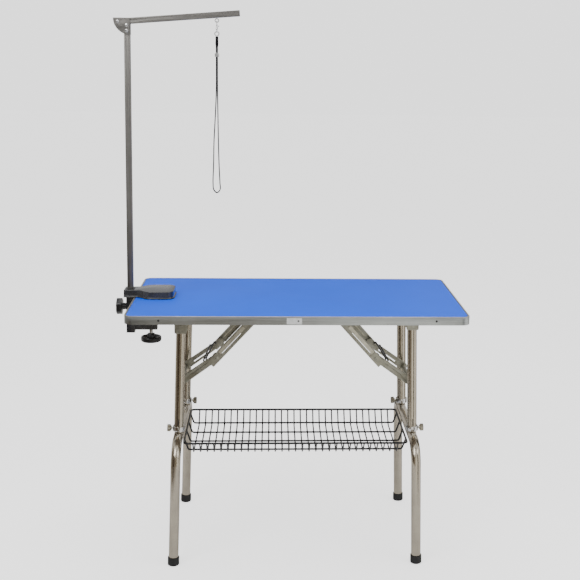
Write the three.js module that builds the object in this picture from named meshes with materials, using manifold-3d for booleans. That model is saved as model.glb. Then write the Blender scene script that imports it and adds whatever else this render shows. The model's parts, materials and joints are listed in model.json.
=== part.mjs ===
// Folding grooming table: a rubber-matted top on two folding leg frames, with a wire basket
// between them and a clamped post whose arm carries a hanging noose.
// Millimetres, +Z up, +X along the table, +Y towards its back, floor at z = 0.
import * as THREE from "three";
import { mergeVertices } from "three/addons/utils/BufferGeometryUtils.js";
import Module from "manifold-3d";

const wasm = await Module();
wasm.setup();

// ---------------------------------------------------------------- driving dimensions

const GAP = 0.3; // room between pieces that touch
const RUNNING = 0.4; // radial room between a pin and its faceted hole

const TOP = { length: 1100, depth: 600, height: 850, corner: 28 };
const TRIM = { height: 27, wall: 2.6, lip: 6, lipThickness: 1.4, lowerLip: 12 };
const MAT_THICKNESS = 3.2;
const BOARD_THICKNESS = 19.5;

// The clamp's side knob stands out past the table's end, so the whole model is moved this far
// along X to put its origin under the middle of its overall box.
const KNOB_FACE = -612;
const CENTRING = -(KNOB_FACE + TOP.length / 2) / 2;

const LEG = {
  x: 382, // hinge line, from the middle of the table
  y: 148, // middle of an upper leg tube
  radius: 16,
  wall: 2,
  splay: THREE.MathUtils.degToRad(1.5),
  aboveHinge: 18,
  tubeEnd: 423, // lower end of the upper tube, measured up the leg from the floor
};
const HINGE_HEIGHT = { left: 780, right: 794 };

const FOOT = {
  y: 256,
  bar: 405, // middle of the cross bar, measured up the leg from the floor
  bend: 65,
  stubRadius: 13.7,
  stubTop: 555,
  capRadius: 19,
  capHeight: 27,
  capFloor: 5,
};

const COLLAR = { radius: 20.5, bottom: 422.6, height: 16, slit: 3 };
const BRACE = {
  anchor: { left: { x: 139, z: 800 }, right: { x: 139, z: 803 } },
  knuckle: { x: 267.5, z: 660.5 },
  foot: { left: 205, right: 219 }, // from the hinge line down the leg to the cross tube
  crossTube: 8,
  rod: 5,
  upper: { halfWidth: 14, web: 2.5, depth: 12, outerY: 107, slot: [72, 167], slotWidth: 5 },
  lower: { halfWidth: 12, thickness: 4, outerY: 93 },
};

const BASKET = {
  rimX: 374, rimY: 174, rimZ: 386, rimRadius: 2.4,
  floorX: 361, floorY: 131, floorZ: 341,
  wire: 1.6, runner: 2,
  crossWires: 31, crossPitch: 22.9,
};

const POST = { x: -565, size: 20, wall: 1.5, bottom: 745, top: 1758.2 };
const HEAD = { cornerX: -554.5, cornerZ: 1780, radius: 55, plate: 2, pivotX: -594, pivotZ: 1767, rivetZ: 1738 };
const ARM = { tilt: THREE.MathUtils.degToRad(4.9), tail: 12, reach: 397, eye: 322 };
const CLAMP = {
  outer: 28, inner: 21, bottom: 723,
  barTop: 755, barBottom: 733, barEnd: -475, barDepth: 24,
  jawThickness: 25, flange: 4,
  screwX: -497, screwRadius: 6.5,
  wheelRadius: 35, wheelBottom: 690,
  knobZ: 813, knobRadius: 28,
};

// ---------------------------------------------------------------- materials

const material = (color, roughness, metalness) =>
  new THREE.MeshStandardMaterial({ color, roughness, metalness });
const STEEL = material(0x9ea0a2, 0.32, 1);
const CHROME = material(0xc9cbcd, 0.14, 1);
const GALVANISED = material(0x9a9a86, 0.45, 0.9);
const ALUMINIUM = material(0xa9aaab, 0.35, 1);
const BLUE_RUBBER = material(0x2c62dc, 0.8, 0);
const BLACK_RUBBER = material(0x1c1c1e, 0.85, 0);
const BLACK_PAINT = material(0x18191b, 0.35, 0.3);
const PLYWOOD = material(0xb08a5c, 0.7, 0);
const WHITE_PLASTIC = material(0xdcdcda, 0.4, 0);
const NYLON = material(0x141416, 0.9, 0);

const model = new THREE.Group();
model.position.x = CENTRING;

function add(parent, name, geometry, mat) {
  const mesh = new THREE.Mesh(geometry, mat);
  mesh.name = name;
  parent.add(mesh);
  return mesh;
}

// ---------------------------------------------------------------- booleans

function toSolid(geometry) {
  let plain = geometry.clone();
  plain.deleteAttribute("normal");
  plain.deleteAttribute("uv");
  plain = mergeVertices(plain, 1e-4);
  return new wasm.Manifold(new wasm.Mesh({
    numProp: 3,
    vertProperties: new Float32Array(plain.attributes.position.array),
    triVerts: new Uint32Array(plain.index.array),
  }));
}

function toGeometry(solid) {
  const mesh = solid.getMesh();
  const geometry = new THREE.BufferGeometry();
  geometry.setAttribute("position", new THREE.BufferAttribute(mesh.vertProperties, 3));
  geometry.setIndex(new THREE.BufferAttribute(mesh.triVerts, 1));
  geometry.computeVertexNormals();
  return geometry;
}

const join = (...pieces) =>
  toGeometry(pieces.map(toSolid).reduce((whole, piece) => whole.add(piece)));
const cut = (body, ...tools) =>
  toGeometry(tools.map(toSolid).reduce((whole, tool) => whole.subtract(tool), toSolid(body)));

// ---------------------------------------------------------------- shapes

function roundedRectangle(length, depth, radius) {
  const x = length / 2 - radius;
  const y = depth / 2 - radius;
  const shape = new THREE.Shape();
  shape.absarc(x, -y, radius, -Math.PI / 2, 0);
  shape.absarc(x, y, radius, 0, Math.PI / 2);
  shape.absarc(-x, y, radius, Math.PI / 2, Math.PI);
  shape.absarc(-x, -y, radius, Math.PI, 1.5 * Math.PI);
  shape.closePath();
  return shape;
}

function circlePath(x, y, radius) {
  return new THREE.Path().absarc(x, y, radius, 0, 2 * Math.PI, true);
}

// A shape in the XY plane made into a plate between two heights.
function plateXY(shape, low, high, curveSegments = 4) {
  const plate = new THREE.ExtrudeGeometry(shape, {
    depth: high - low, bevelEnabled: false, curveSegments,
  });
  return plate.translate(0, 0, low);
}

// A shape drawn in X and Z made into a plate between two Y values.
function plateXZ(shape, near, far, curveSegments = 6) {
  const plate = new THREE.ExtrudeGeometry(shape, {
    depth: far - near, bevelEnabled: false, curveSegments,
  });
  return plate.rotateX(Math.PI / 2).translate(0, far, 0);
}

function rodY(x, z, radius, near, far, sides = 12) {
  const rod = new THREE.CylinderGeometry(radius, radius, far - near, sides);
  return rod.translate(x, (near + far) / 2, z);
}

function box(low, high) {
  const size = high.map((value, i) => value - low[i]);
  const middle = high.map((value, i) => (value + low[i]) / 2);
  return new THREE.BoxGeometry(...size).translate(...middle);
}

// A closed turned body about +Z, from radius and height pairs that start and end on the axis.
function turned(pairs, sides = 16) {
  const profile = pairs.map(([radius, height]) => new THREE.Vector2(radius, height));
  return new THREE.LatheGeometry(profile, sides).rotateX(Math.PI / 2);
}

// A path through hand-set points, with one sweep step from each point to the next.
class PointPath extends THREE.Curve {
  constructor(points) {
    super();
    this.points = points;
  }

  getPoint(t) {
    const place = t * (this.points.length - 1);
    const i = Math.min(Math.floor(place), this.points.length - 2);
    return this.points[i].clone().lerp(this.points[i + 1], place - i);
  }

  getPointAt(u) {
    return this.getPoint(u);
  }

  getTangentAt(u) {
    const i = Math.round(u * (this.points.length - 1));
    const before = this.points[Math.max(i - 1, 0)];
    const after = this.points[Math.min(i + 1, this.points.length - 1)];
    return after.clone().sub(before).normalize();
  }
}

// Corner points with each inner corner rounded to a radius.
function rounded(corners, radius, steps) {
  const points = [corners[0]];
  for (let i = 1; i < corners.length - 1; i++) {
    const corner = corners[i];
    const back = corners[i - 1].clone().sub(corner).normalize();
    const ahead = corners[i + 1].clone().sub(corner).normalize();
    const half = back.angleTo(ahead) / 2;
    const reach = radius / Math.tan(half);
    const centre = back.clone().add(ahead).normalize()
      .multiplyScalar(radius / Math.sin(half)).add(corner);
    const start = corner.clone().addScaledVector(back, reach).sub(centre);
    const end = corner.clone().addScaledVector(ahead, reach).sub(centre);
    const sweep = start.angleTo(end);
    for (let k = 0; k <= steps; k++) {
      const part = (k / steps) * sweep;
      points.push(centre.clone()
        .addScaledVector(start, Math.sin(sweep - part) / Math.sin(sweep))
        .addScaledVector(end, Math.sin(part) / Math.sin(sweep)));
    }
  }
  points.push(corners[corners.length - 1]);
  return points;
}

function swept(points, radius, sides, bore = 0) {
  const section = new THREE.Shape();
  const ring = (r) => Array.from({ length: sides }, (_, k) => {
    const angle = (2 * Math.PI * (k + 0.5)) / sides;
    return new THREE.Vector2(r * Math.cos(angle), r * Math.sin(angle));
  });
  section.setFromPoints(ring(radius));
  if (bore > 0) section.holes.push(new THREE.Path(ring(bore).reverse()));
  return new THREE.ExtrudeGeometry(section, {
    steps: points.length - 1, extrudePath: new PointPath(points), bevelEnabled: false,
  });
}

const at = (x, y, z) => new THREE.Vector3(x, y, z);

// ---------------------------------------------------------------- the top

const trimBottom = TOP.height - TRIM.height;
const boardBottom = TOP.height - MAT_THICKNESS - BOARD_THICKNESS - 0.6;

function inset(amount) {
  return roundedRectangle(
    TOP.length - 2 * amount, TOP.depth - 2 * amount, Math.max(TOP.corner - amount, 6),
  );
}

function trimRing(outer, inner, low, high) {
  const shape = inset(outer);
  shape.holes.push(new THREE.Path(inset(inner).getPoints(4).reverse()));
  return plateXY(shape, low, high);
}

const trimTop = TOP.height;
add(model, "edge_trim", join(
  trimRing(0, TRIM.wall, trimBottom, trimTop),
  trimRing(0, TRIM.lip, trimTop - TRIM.lipThickness, trimTop),
  trimRing(0, TRIM.lowerLip, trimBottom, trimBottom + TRIM.wall),
), ALUMINIUM);
add(model, "top_board", plateXY(
  inset(TRIM.wall + GAP), boardBottom, boardBottom + BOARD_THICKNESS,
), PLYWOOD);
add(model, "rubber_mat", plateXY(
  inset(TRIM.lip + GAP), TOP.height - MAT_THICKNESS - GAP, TOP.height - GAP,
), BLUE_RUBBER);
const LABEL = { x: -13, length: 48, height: 20, thickness: 0.6 };
add(model, "blank_label", box(
  [LABEL.x - LABEL.length / 2, -TOP.depth / 2 - GAP - LABEL.thickness, trimBottom + 3],
  [LABEL.x + LABEL.length / 2, -TOP.depth / 2 - GAP, trimBottom + 3 + LABEL.height],
), WHITE_PLASTIC);

// ---------------------------------------------------------------- the two leg frames

// A U-shaped bracket under the board, with its rivet through both cheeks.
function hingeBracket(x, y, z) {
  const cheekRadius = 20.5;
  const plateTop = boardBottom - GAP;
  const plateThickness = 3;
  const cheek = new THREE.Shape();
  const corner = 5;
  cheek.moveTo(cheekRadius, plateTop - z);
  cheek.lineTo(-cheekRadius, plateTop - z);
  cheek.absarc(-cheekRadius + corner, -cheekRadius + corner, corner, Math.PI, 1.5 * Math.PI, false);
  cheek.absarc(cheekRadius - corner, -cheekRadius + corner, corner, 1.5 * Math.PI, 2 * Math.PI, false);
  cheek.closePath();
  const inner = LEG.radius + 0.5;
  const outer = inner + 2.5;
  const pinRadius = 5;
  const head = 8;
  const plate = box(
    [-cheekRadius, -outer, plateTop - z - plateThickness], [cheekRadius, outer, plateTop - z],
  );
  const bracket = join(
    plate,
    plateXZ(cheek, -outer, -inner),
    plateXZ(cheek, inner, outer),
    rodY(0, 0, pinRadius, -outer - 1, outer + 1),
    rodY(0, 0, head, -outer - 2.5, -outer + 0.5),
    rodY(0, 0, head, outer - 0.5, outer + 2.5),
  );
  return bracket.translate(x, y, z);
}

function upperTube(top, bottom) {
  const section = new THREE.Shape().absarc(0, 0, LEG.radius, 0, 2 * Math.PI);
  section.holes.push(circlePath(0, 0, LEG.radius - LEG.wall));
  const tube = plateXY(section, bottom, top, 8);
  return cut(tube, rodY(0, 0, 5 + RUNNING, -LEG.radius - 2, LEG.radius + 2));
}

// The welded lower frame: one bent tube from foot to foot, and two stubs that slide in the legs.
function footFrame(floor) {
  const bar = floor + FOOT.bar;
  const end = floor + FOOT.capFloor + GAP;
  const path = rounded([
    at(0, -FOOT.y, end), at(0, -FOOT.y, bar), at(0, FOOT.y, bar), at(0, FOOT.y, end),
  ], FOOT.bend, 5);
  const bent = swept(path, LEG.radius, 16, LEG.radius - LEG.wall);
  const stub = (y) => {
    const section = new THREE.Shape().absarc(0, 0, FOOT.stubRadius, 0, 2 * Math.PI);
    section.holes.push(circlePath(0, 0, FOOT.stubRadius - LEG.wall));
    return plateXY(section, bar + 6, floor + FOOT.stubTop, 7).translate(0, y, 0);
  };
  return join(bent, stub(-LEG.y), stub(LEG.y));
}

function collar(floor) {
  const inner = LEG.radius + GAP;
  const gapAngle = Math.asin(COLLAR.slit / 2 / inner);
  const ring = new THREE.Shape();
  ring.absarc(0, 0, COLLAR.radius, gapAngle, 2 * Math.PI - gapAngle, false);
  ring.absarc(0, 0, inner, 2 * Math.PI - gapAngle, gapAngle, true);
  ring.closePath();
  return plateXY(ring, floor + COLLAR.bottom, floor + COLLAR.bottom + COLLAR.height, 12);
}

const THUMBSCREW = [
  [0, 0], [3, 0], [3, 3], [7, 3], [8, 5], [10.6, 5.8], [12, 7.4], [12, 16.4], [10.6, 18], [0, 18],
];

function rubberCap() {
  const bore = LEG.radius + GAP;
  return turned([
    [0, 0], [FOOT.capRadius - 1.5, 0], [FOOT.capRadius, 1.5], [FOOT.capRadius, FOOT.capHeight],
    [bore, FOOT.capHeight], [bore, FOOT.capFloor], [0, FOOT.capFloor],
  ], 24);
}

// ---------------------------------------------------------------- locking braces

function link(length, startRadius, endRadius, slotRange, slotWidth) {
  const shape = new THREE.Shape();
  shape.absarc(0, 0, startRadius, Math.PI / 2, 1.5 * Math.PI, false);
  shape.absarc(length, 0, endRadius, -Math.PI / 2, Math.PI / 2, false);
  shape.closePath();
  if (slotRange) {
    const slot = new THREE.Path();
    const half = slotWidth / 2;
    slot.absarc(slotRange[0] + half, 0, half, 1.5 * Math.PI, Math.PI / 2, true);
    slot.absarc(slotRange[1] - half, 0, half, Math.PI / 2, -Math.PI / 2, true);
    slot.closePath();
    shape.holes.push(slot);
  }
  return shape;
}

// A pressed channel, open towards the middle of the table, with a long slot and a riveted end.
function upperArm(length, side) {
  const { halfWidth, web, depth, outerY, slot, slotWidth } = BRACE.upper;
  const shape = link(length, halfWidth, halfWidth, slot, slotWidth);
  shape.holes.push(circlePath(0, 0, BRACE.rod + RUNNING));
  const outer = side * outerY;
  const range = (a, b) => [Math.min(side * a, side * b), Math.max(side * a, side * b)];
  const webRange = range(outerY - web, outerY);
  const flangeRange = range(outerY - depth, outerY - web / 2);
  const flangeStart = 12;
  const flangeEnd = length - 16;
  const flange = (edge) => box(
    [flangeStart, flangeRange[0], Math.min(edge, edge - Math.sign(edge) * web)],
    [flangeEnd, flangeRange[1], Math.max(edge, edge - Math.sign(edge) * web)],
  );
  const rivet = range(outerY - web / 2, outerY + 2.4);
  return join(
    plateXZ(shape, ...webRange),
    flange(halfWidth),
    flange(-halfWidth),
    rodY(length, 0, 7, ...rivet, 14),
  );
}

function lowerArm(length, side) {
  const { halfWidth, thickness, outerY } = BRACE.lower;
  const eyeRadius = BRACE.crossTube + 6;
  const shape = link(length, eyeRadius, halfWidth);
  shape.holes.push(circlePath(0, 0, BRACE.crossTube + RUNNING));
  const near = Math.min(side * outerY, side * (outerY - thickness));
  return plateXZ(shape, near, near + thickness);
}

// A plate under the board with a lug outside each upper arm, and the rod they turn on.
function braceMount(z) {
  const { outerY } = BRACE.upper;
  const lugNear = outerY + 3;
  const lugFar = lugNear + 3;
  const top = boardBottom - GAP - z;
  const halfWidth = 14;
  const lug = new THREE.Shape();
  lug.moveTo(halfWidth, top);
  lug.lineTo(-halfWidth, top);
  lug.lineTo(-9, 0);
  lug.absarc(0, 0, 9, Math.PI, 2 * Math.PI, false);
  lug.closePath();
  return join(
    box([-halfWidth, -lugFar, top - 3], [halfWidth, lugFar, top]),
    plateXZ(lug, -lugFar, -lugNear),
    plateXZ(lug, lugNear, lugFar),
    rodY(0, 0, BRACE.rod, -lugFar - 1.5, lugFar + 1.5),
  );
}

const ENDS = [["left", -1], ["right", 1]];
const SIDES = [["front", -1], ["rear", 1]];

for (const [end, out] of ENDS) {
  const hingeZ = HINGE_HEIGHT[end];
  const sine = Math.sin(LEG.splay);
  const floor = -(hingeZ - FOOT.capRadius * sine) / Math.cos(LEG.splay);
  const frame = new THREE.Group();
  frame.position.set(out * LEG.x, 0, hingeZ);
  frame.rotation.y = -out * LEG.splay;
  model.add(frame);

  for (const [row, back] of SIDES) {
    const tag = `${end}_${row}`;
    const y = back * LEG.y;
    add(model, `hinge_bracket_${tag}`, hingeBracket(out * LEG.x, y, hingeZ), GALVANISED);
    add(frame, `leg_tube_${tag}`, upperTube(LEG.aboveHinge, floor + LEG.tubeEnd), STEEL)
      .position.y = y;

    // The slit and the thumbscrew are on opposite sides: front screws face out, rear ones in.
    const screwSide = out * -back;
    const ring = add(frame, `collar_${tag}`, collar(floor), CHROME);
    ring.position.y = y;
    ring.rotation.z = screwSide > 0 ? Math.PI : 0;
    const screw = add(frame, `thumbscrew_${tag}`, turned(THUMBSCREW, 16), CHROME);
    screw.position.set(
      screwSide * (COLLAR.radius + GAP), y, floor + COLLAR.bottom + COLLAR.height / 2,
    );
    screw.rotation.y = (screwSide * Math.PI) / 2;

    const cap = add(frame, `rubber_foot_${tag}`, rubberCap(), BLACK_RUBBER);
    cap.position.set(0, back * FOOT.y, floor);
  }

  const braceFoot = -BRACE.foot[end];
  const crossHalf = LEG.y - LEG.radius - GAP;
  add(frame, `cross_tube_${end}`,
    rodY(0, braceFoot, BRACE.crossTube, -crossHalf, crossHalf, 20), GALVANISED);
  add(frame, `foot_frame_${end}`, footFrame(floor), STEEL);

  // The braces are set by three points: the rod under the board, the knuckle and the cross tube.
  const anchor = BRACE.anchor[end];
  const anchorX = out * anchor.x;
  const knuckleX = out * BRACE.knuckle.x;
  const crossX = out * (LEG.x - braceFoot * sine);
  const crossZ = hingeZ + braceFoot * Math.cos(LEG.splay);
  add(model, `brace_mount_${end}`, braceMount(anchor.z).translate(anchorX, 0, anchor.z), GALVANISED);

  const upper = new THREE.Vector2(knuckleX - anchorX, BRACE.knuckle.z - anchor.z);
  const lower = new THREE.Vector2(knuckleX - crossX, BRACE.knuckle.z - crossZ);
  for (const [row, back] of SIDES) {
    const upperMesh = add(model, `brace_upper_${end}_${row}`, upperArm(upper.length(), back), GALVANISED);
    upperMesh.position.set(anchorX, 0, anchor.z);
    upperMesh.rotation.y = -upper.angle();
    const lowerMesh = add(model, `brace_lower_${end}_${row}`, lowerArm(lower.length(), back), GALVANISED);
    lowerMesh.position.set(crossX, 0, crossZ);
    lowerMesh.rotation.y = -lower.angle();
  }
}

// ---------------------------------------------------------------- the wire basket

function basket() {
  const { rimX, rimY, rimZ, floorX, floorY, floorZ, wire, runner } = BASKET;
  const half = (side) => rounded([
    at(side * -4, -rimY, rimZ), at(side * rimX, -rimY, rimZ),
    at(side * rimX, rimY, rimZ), at(side * -4, rimY, rimZ),
  ], 14, 3);
  const pieces = [swept(half(1), BASKET.rimRadius, 6), swept(half(-1), BASKET.rimRadius, 6)];
  const first = -((BASKET.crossWires - 1) / 2) * BASKET.crossPitch;
  for (let i = 0; i < BASKET.crossWires; i++) {
    const x = first + i * BASKET.crossPitch;
    pieces.push(swept(rounded([
      at(x, -rimY, rimZ), at(x, -floorY, floorZ), at(x, floorY, floorZ), at(x, rimY, rimZ),
    ], 8, 1), wire, 4));
  }
  // Two runners lie on the floor, and two a little way up the sloping sides.
  const bond = wire + runner - 0.8;
  const slope = Math.hypot(rimY - floorY, rimZ - floorZ);
  const rise = (rimZ - floorZ) / 9;
  const sideY = floorY + (rise * (rimY - floorY)) / (rimZ - floorZ)
    - (bond * (rimZ - floorZ)) / slope;
  const sideZ = floorZ + rise + (bond * (rimY - floorY)) / slope;
  const runners = [
    [-sideY, sideZ], [-floorY / 3, floorZ + bond], [floorY / 3, floorZ + bond], [sideY, sideZ],
  ];
  for (const [y, z] of runners) {
    pieces.push(swept(rounded([
      at(-rimX, y, rimZ), at(-floorX, y, z), at(floorX, y, z), at(rimX, y, rimZ),
    ], 8, 1), runner, 4));
  }
  return join(...pieces);
}

add(model, "basket", basket(), BLACK_PAINT);

// ---------------------------------------------------------------- the table clamp

function squareTube(outer, inner, low, high) {
  const shape = roundedRectangle(outer, outer, 2);
  shape.holes.push(new THREE.Path(roundedRectangle(inner, inner, 1).getPoints(3).reverse()));
  return plateXY(shape, low, high, 3);
}

const jawTop = TOP.height + GAP + CLAMP.jawThickness;
const knobHole = new THREE.CylinderGeometry(4 + RUNNING, 4 + RUNNING, 20, 14)
  .rotateZ(Math.PI / 2).translate(POST.x - CLAMP.outer / 2, 0, CLAMP.knobZ);
const screwHole = new THREE.CylinderGeometry(
  CLAMP.screwRadius + RUNNING, CLAMP.screwRadius + RUNNING, 40, 20,
).rotateX(Math.PI / 2).translate(CLAMP.screwX, 0, (CLAMP.barTop + CLAMP.barBottom) / 2);
add(model, "clamp_bracket", cut(
  join(
    squareTube(CLAMP.outer, CLAMP.inner, CLAMP.bottom, jawTop + 2).translate(POST.x, 0, 0),
    box(
      [POST.x + CLAMP.outer / 2 - 1, -CLAMP.barDepth / 2, CLAMP.barBottom],
      [CLAMP.barEnd, CLAMP.barDepth / 2, CLAMP.barTop],
    ),
  ), knobHole, screwHole,
), BLACK_PAINT);

// The jaw: a square sleeve, a narrow neck and a wide paddle that lies on the mat.
function jawOutline(grow, paddleStart, paddleEnd) {
  const paddle = 62 + grow;
  const neck = 30 + grow;
  const sleeve = 20;
  const shape = new THREE.Shape();
  const corner = 26 + grow;
  const far = paddleEnd + grow;
  shape.moveTo(POST.x - sleeve, -neck);
  shape.lineTo(POST.x + sleeve, -neck);
  shape.bezierCurveTo(
    paddleStart + 2, -neck, paddleStart - 4, -paddle, paddleStart + 30, -paddle,
  );
  shape.absarc(far - corner, -paddle + corner, corner, -Math.PI / 2, 0, false);
  shape.absarc(far - corner, paddle - corner, corner, 0, Math.PI / 2, false);
  shape.lineTo(paddleStart + 30, paddle);
  shape.bezierCurveTo(
    paddleStart - 4, paddle, paddleStart + 2, neck, POST.x + sleeve, neck,
  );
  shape.lineTo(POST.x - sleeve, neck);
  shape.closePath();
  return shape;
}

const jawBottom = TOP.height + GAP;
const sleeveInner = CLAMP.outer + 2 * GAP;
add(model, "clamp_jaw", cut(
  join(
    plateXY(jawOutline(0, -518, -416), jawBottom, jawTop, 8),
    plateXY(jawOutline(4, -518, -416), jawBottom, jawBottom + CLAMP.flange, 8),
  ),
  box(
    [POST.x - sleeveInner / 2, -sleeveInner / 2, jawBottom - 5],
    [POST.x + sleeveInner / 2, sleeveInner / 2, jawTop + 5],
  ),
  box([-486, -46, jawBottom - 5], [-428, 46, jawTop - 6]),
), BLACK_PAINT);

const padTop = boardBottom - GAP;
add(model, "clamp_pad", turned([
  [0, padTop - 8], [8, padTop - 8], [20, padTop - 5], [20, padTop], [0, padTop],
]).translate(CLAMP.screwX, 0, 0), BLACK_PAINT);
add(model, "clamp_screw", turned([
  [0, CLAMP.wheelBottom + 12.3], [CLAMP.screwRadius, CLAMP.wheelBottom + 12.3],
  [CLAMP.screwRadius, padTop - 8 - GAP], [0, padTop - 8 - GAP],
]).translate(CLAMP.screwX, 0, 0), STEEL);

// A dished wheel whose hub takes the lower end of the screw in a blind hole.
const wheel = CLAMP.wheelRadius;
const hubBore = CLAMP.screwRadius + GAP;
add(model, "handwheel", turned([
  [0, 0], [wheel - 6, 0], [wheel - 1, 2], [wheel, 6], [wheel, 15], [wheel - 2, 18],
  [wheel - 6, 18], [wheel - 8, 12], [15, 10], [13, 28], [hubBore, 28], [hubBore, 12], [0, 12],
], 28).translate(CLAMP.screwX, 0, CLAMP.wheelBottom), BLACK_PAINT);

function sideKnob() {
  const lobes = 6;
  const depth = 3;
  const steps = 48;
  const outline = new THREE.Shape();
  for (let i = 0; i < steps; i++) {
    const angle = (2 * Math.PI * i) / steps;
    const radius = CLAMP.knobRadius - depth / 2 + (depth / 2) * Math.cos(lobes * angle);
    const point = [radius * Math.cos(angle), radius * Math.sin(angle)];
    if (i === 0) outline.moveTo(...point);
    else outline.lineTo(...point);
  }
  outline.closePath();
  const face = POST.x - CLAMP.outer / 2;
  const head = plateXY(outline, 14, face - KNOB_FACE, 1);
  const neck = turned([[0, GAP], [11, GAP], [12, 15], [0, 15]]);
  const stem = turned([[0, -CLAMP.outer / 2 + POST.size / 2 + GAP], [4, -3.7], [4, 2], [0, 2]], 14);
  return join(head, neck, stem).rotateY(-Math.PI / 2).translate(face, 0, CLAMP.knobZ);
}

add(model, "side_knob", sideKnob(), BLACK_PAINT);

// ---------------------------------------------------------------- post, head and arm

const halfPost = POST.size / 2;
const rivetRadius = 3;
add(model, "post", cut(
  squareTube(POST.size, POST.size - 2 * POST.wall, POST.bottom, POST.top).translate(POST.x, 0, 0),
  rodY(POST.x, HEAD.rivetZ, rivetRadius + RUNNING, -15, 15),
), STEEL);

function headPlate(near, far) {
  const shape = new THREE.Shape();
  shape.moveTo(HEAD.cornerX, HEAD.cornerZ);
  shape.lineTo(HEAD.cornerX - HEAD.radius, HEAD.cornerZ);
  shape.absarc(HEAD.cornerX, HEAD.cornerZ, HEAD.radius, Math.PI, 1.5 * Math.PI, false);
  shape.closePath();
  shape.holes.push(circlePath(HEAD.pivotX, HEAD.pivotZ, rivetRadius + RUNNING));
  shape.holes.push(circlePath(POST.x, HEAD.rivetZ, rivetRadius + RUNNING));
  return plateXZ(shape, near, far, 12);
}

const plateNear = halfPost + GAP;
const plateFar = plateNear + HEAD.plate;
add(model, "head_plate_front", headPlate(-plateFar, -plateNear), STEEL);
add(model, "head_plate_rear", headPlate(plateNear, plateFar), STEEL);

function rivet(x, z) {
  const headNear = plateFar + GAP;
  const headFar = headNear + 2;
  return join(
    rodY(x, z, rivetRadius, -headNear - 1, headNear + 1, 14),
    rodY(x, z, 5.5, -headFar, -headNear, 14),
    rodY(x, z, 5.5, headNear, headFar, 14),
  );
}

add(model, "arm_pivot", rivet(HEAD.pivotX, HEAD.pivotZ), CHROME);
add(model, "head_rivet", rivet(POST.x, HEAD.rivetZ), CHROME);

const armTube = squareTube(POST.size, POST.size - 2 * POST.wall, -ARM.tail, ARM.reach)
  .rotateY(Math.PI / 2);
const arm = add(model, "arm", cut(
  armTube, rodY(0, 0, rivetRadius + RUNNING, -15, 15),
), STEEL);
arm.position.set(HEAD.pivotX, 0, HEAD.pivotZ);
arm.rotation.y = -ARM.tilt;

// ---------------------------------------------------------------- noose

const nooseX = HEAD.pivotX + ARM.eye;
const armUnder = HEAD.pivotZ + ARM.eye * Math.tan(ARM.tilt) - halfPost / Math.cos(ARM.tilt);
const EYE = { radius: 6, wire: 1.5 };
const eyeZ = armUnder - GAP - EYE.wire - EYE.radius - 0.6;
const ring = (radius, wire, facing) => {
  const torus = new THREE.TorusGeometry(radius, wire, 6, 14);
  return facing === "front" ? torus.rotateX(Math.PI / 2) : torus.rotateY(Math.PI / 2);
};
add(model, "arm_eye", ring(EYE.radius, EYE.wire, "front").translate(nooseX, 0, eyeZ), CHROME);

const hookZ = eyeZ - 2 * EYE.radius + 2 * EYE.wire + GAP;
const hookBottom = hookZ - EYE.radius - EYE.wire;
const barrelLength = 14;
add(model, "snap_hook", join(
  ring(EYE.radius, EYE.wire, "side").translate(nooseX, 0, hookZ),
  turned([
    [0, 0], [3.6, 0], [3.6, 4], [2.6, 6], [2.6, barrelLength], [0, barrelLength],
  ], 14).translate(nooseX, 0, hookBottom - barrelLength + 1.6),
), CHROME);

const swivelTop = hookBottom - barrelLength + 1.6 - GAP;
const SWIVEL = { radius: 4, wire: 1.2 };
const swivelZ = swivelTop - 2 - SWIVEL.radius;
add(model, "swivel_eye", join(
  ring(SWIVEL.radius, SWIVEL.wire, "side").translate(nooseX, 0, swivelZ),
  turned([[0, 0], [3, 0], [3, 2.4], [0, 2.4]], 14).translate(nooseX, 0, swivelTop - 2.4),
), CHROME);

const ORING = { radius: 7, wire: 1.6 };
const oringZ = swivelZ - SWIVEL.radius + SWIVEL.wire + ORING.wire + GAP - ORING.radius;
add(model, "noose_ring", ring(ORING.radius, ORING.wire, "front").translate(nooseX, 0, oringZ), CHROME);

// The strap is doubled from the ring down to the slider, and opens into one long loop below it.
const STRAP = { width: 10, thickness: 2.6 };
const SLIDER = { top: 1670, bottom: 1658, halfX: 7, halfY: 7, holeX: 3.5, holeY: 5.5 };
const stemTop = oringZ - ORING.radius - ORING.wire - GAP;
const stemBottom = SLIDER.top + 2;
add(model, "noose_stem", box(
  [nooseX - 2.2, -STRAP.width / 2, stemBottom + GAP], [nooseX + 2.2, STRAP.width / 2, stemTop],
), NYLON);

const sliderShape = roundedRectangle(2 * SLIDER.halfX, 2 * SLIDER.halfY, 2);
sliderShape.holes.push(new THREE.Path(
  roundedRectangle(2 * SLIDER.holeX, 2 * SLIDER.holeY, 0.6).getPoints(2).reverse(),
));
add(model, "noose_slider",
  plateXY(sliderShape, SLIDER.bottom, SLIDER.top, 3).translate(nooseX, 0, 0), CHROME);

// Hand-set route of the loop, as offset from the ring's middle and height.
const LOOP = [
  [-1.7, 1672], [-1.75, 1640], [-2, 1545], [-6.5, 1440], [-9.6, 1382], [-11.2, 1300],
  [-13, 1236], [-10.5, 1216], [0, 1206], [10.5, 1216], [10, 1240], [7.6, 1290], [5.4, 1359],
  [4, 1430], [3, 1490], [2, 1545], [1.75, 1640], [1.7, 1672],
];
const loopCurve = new THREE.CatmullRomCurve3(LOOP.map(([x, z]) => at(nooseX + x, 0, z)));
const strapSection = new THREE.Shape();
strapSection.moveTo(-STRAP.width / 2, -STRAP.thickness / 2);
strapSection.lineTo(STRAP.width / 2, -STRAP.thickness / 2);
strapSection.lineTo(STRAP.width / 2, STRAP.thickness / 2);
strapSection.lineTo(-STRAP.width / 2, STRAP.thickness / 2);
strapSection.closePath();

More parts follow.
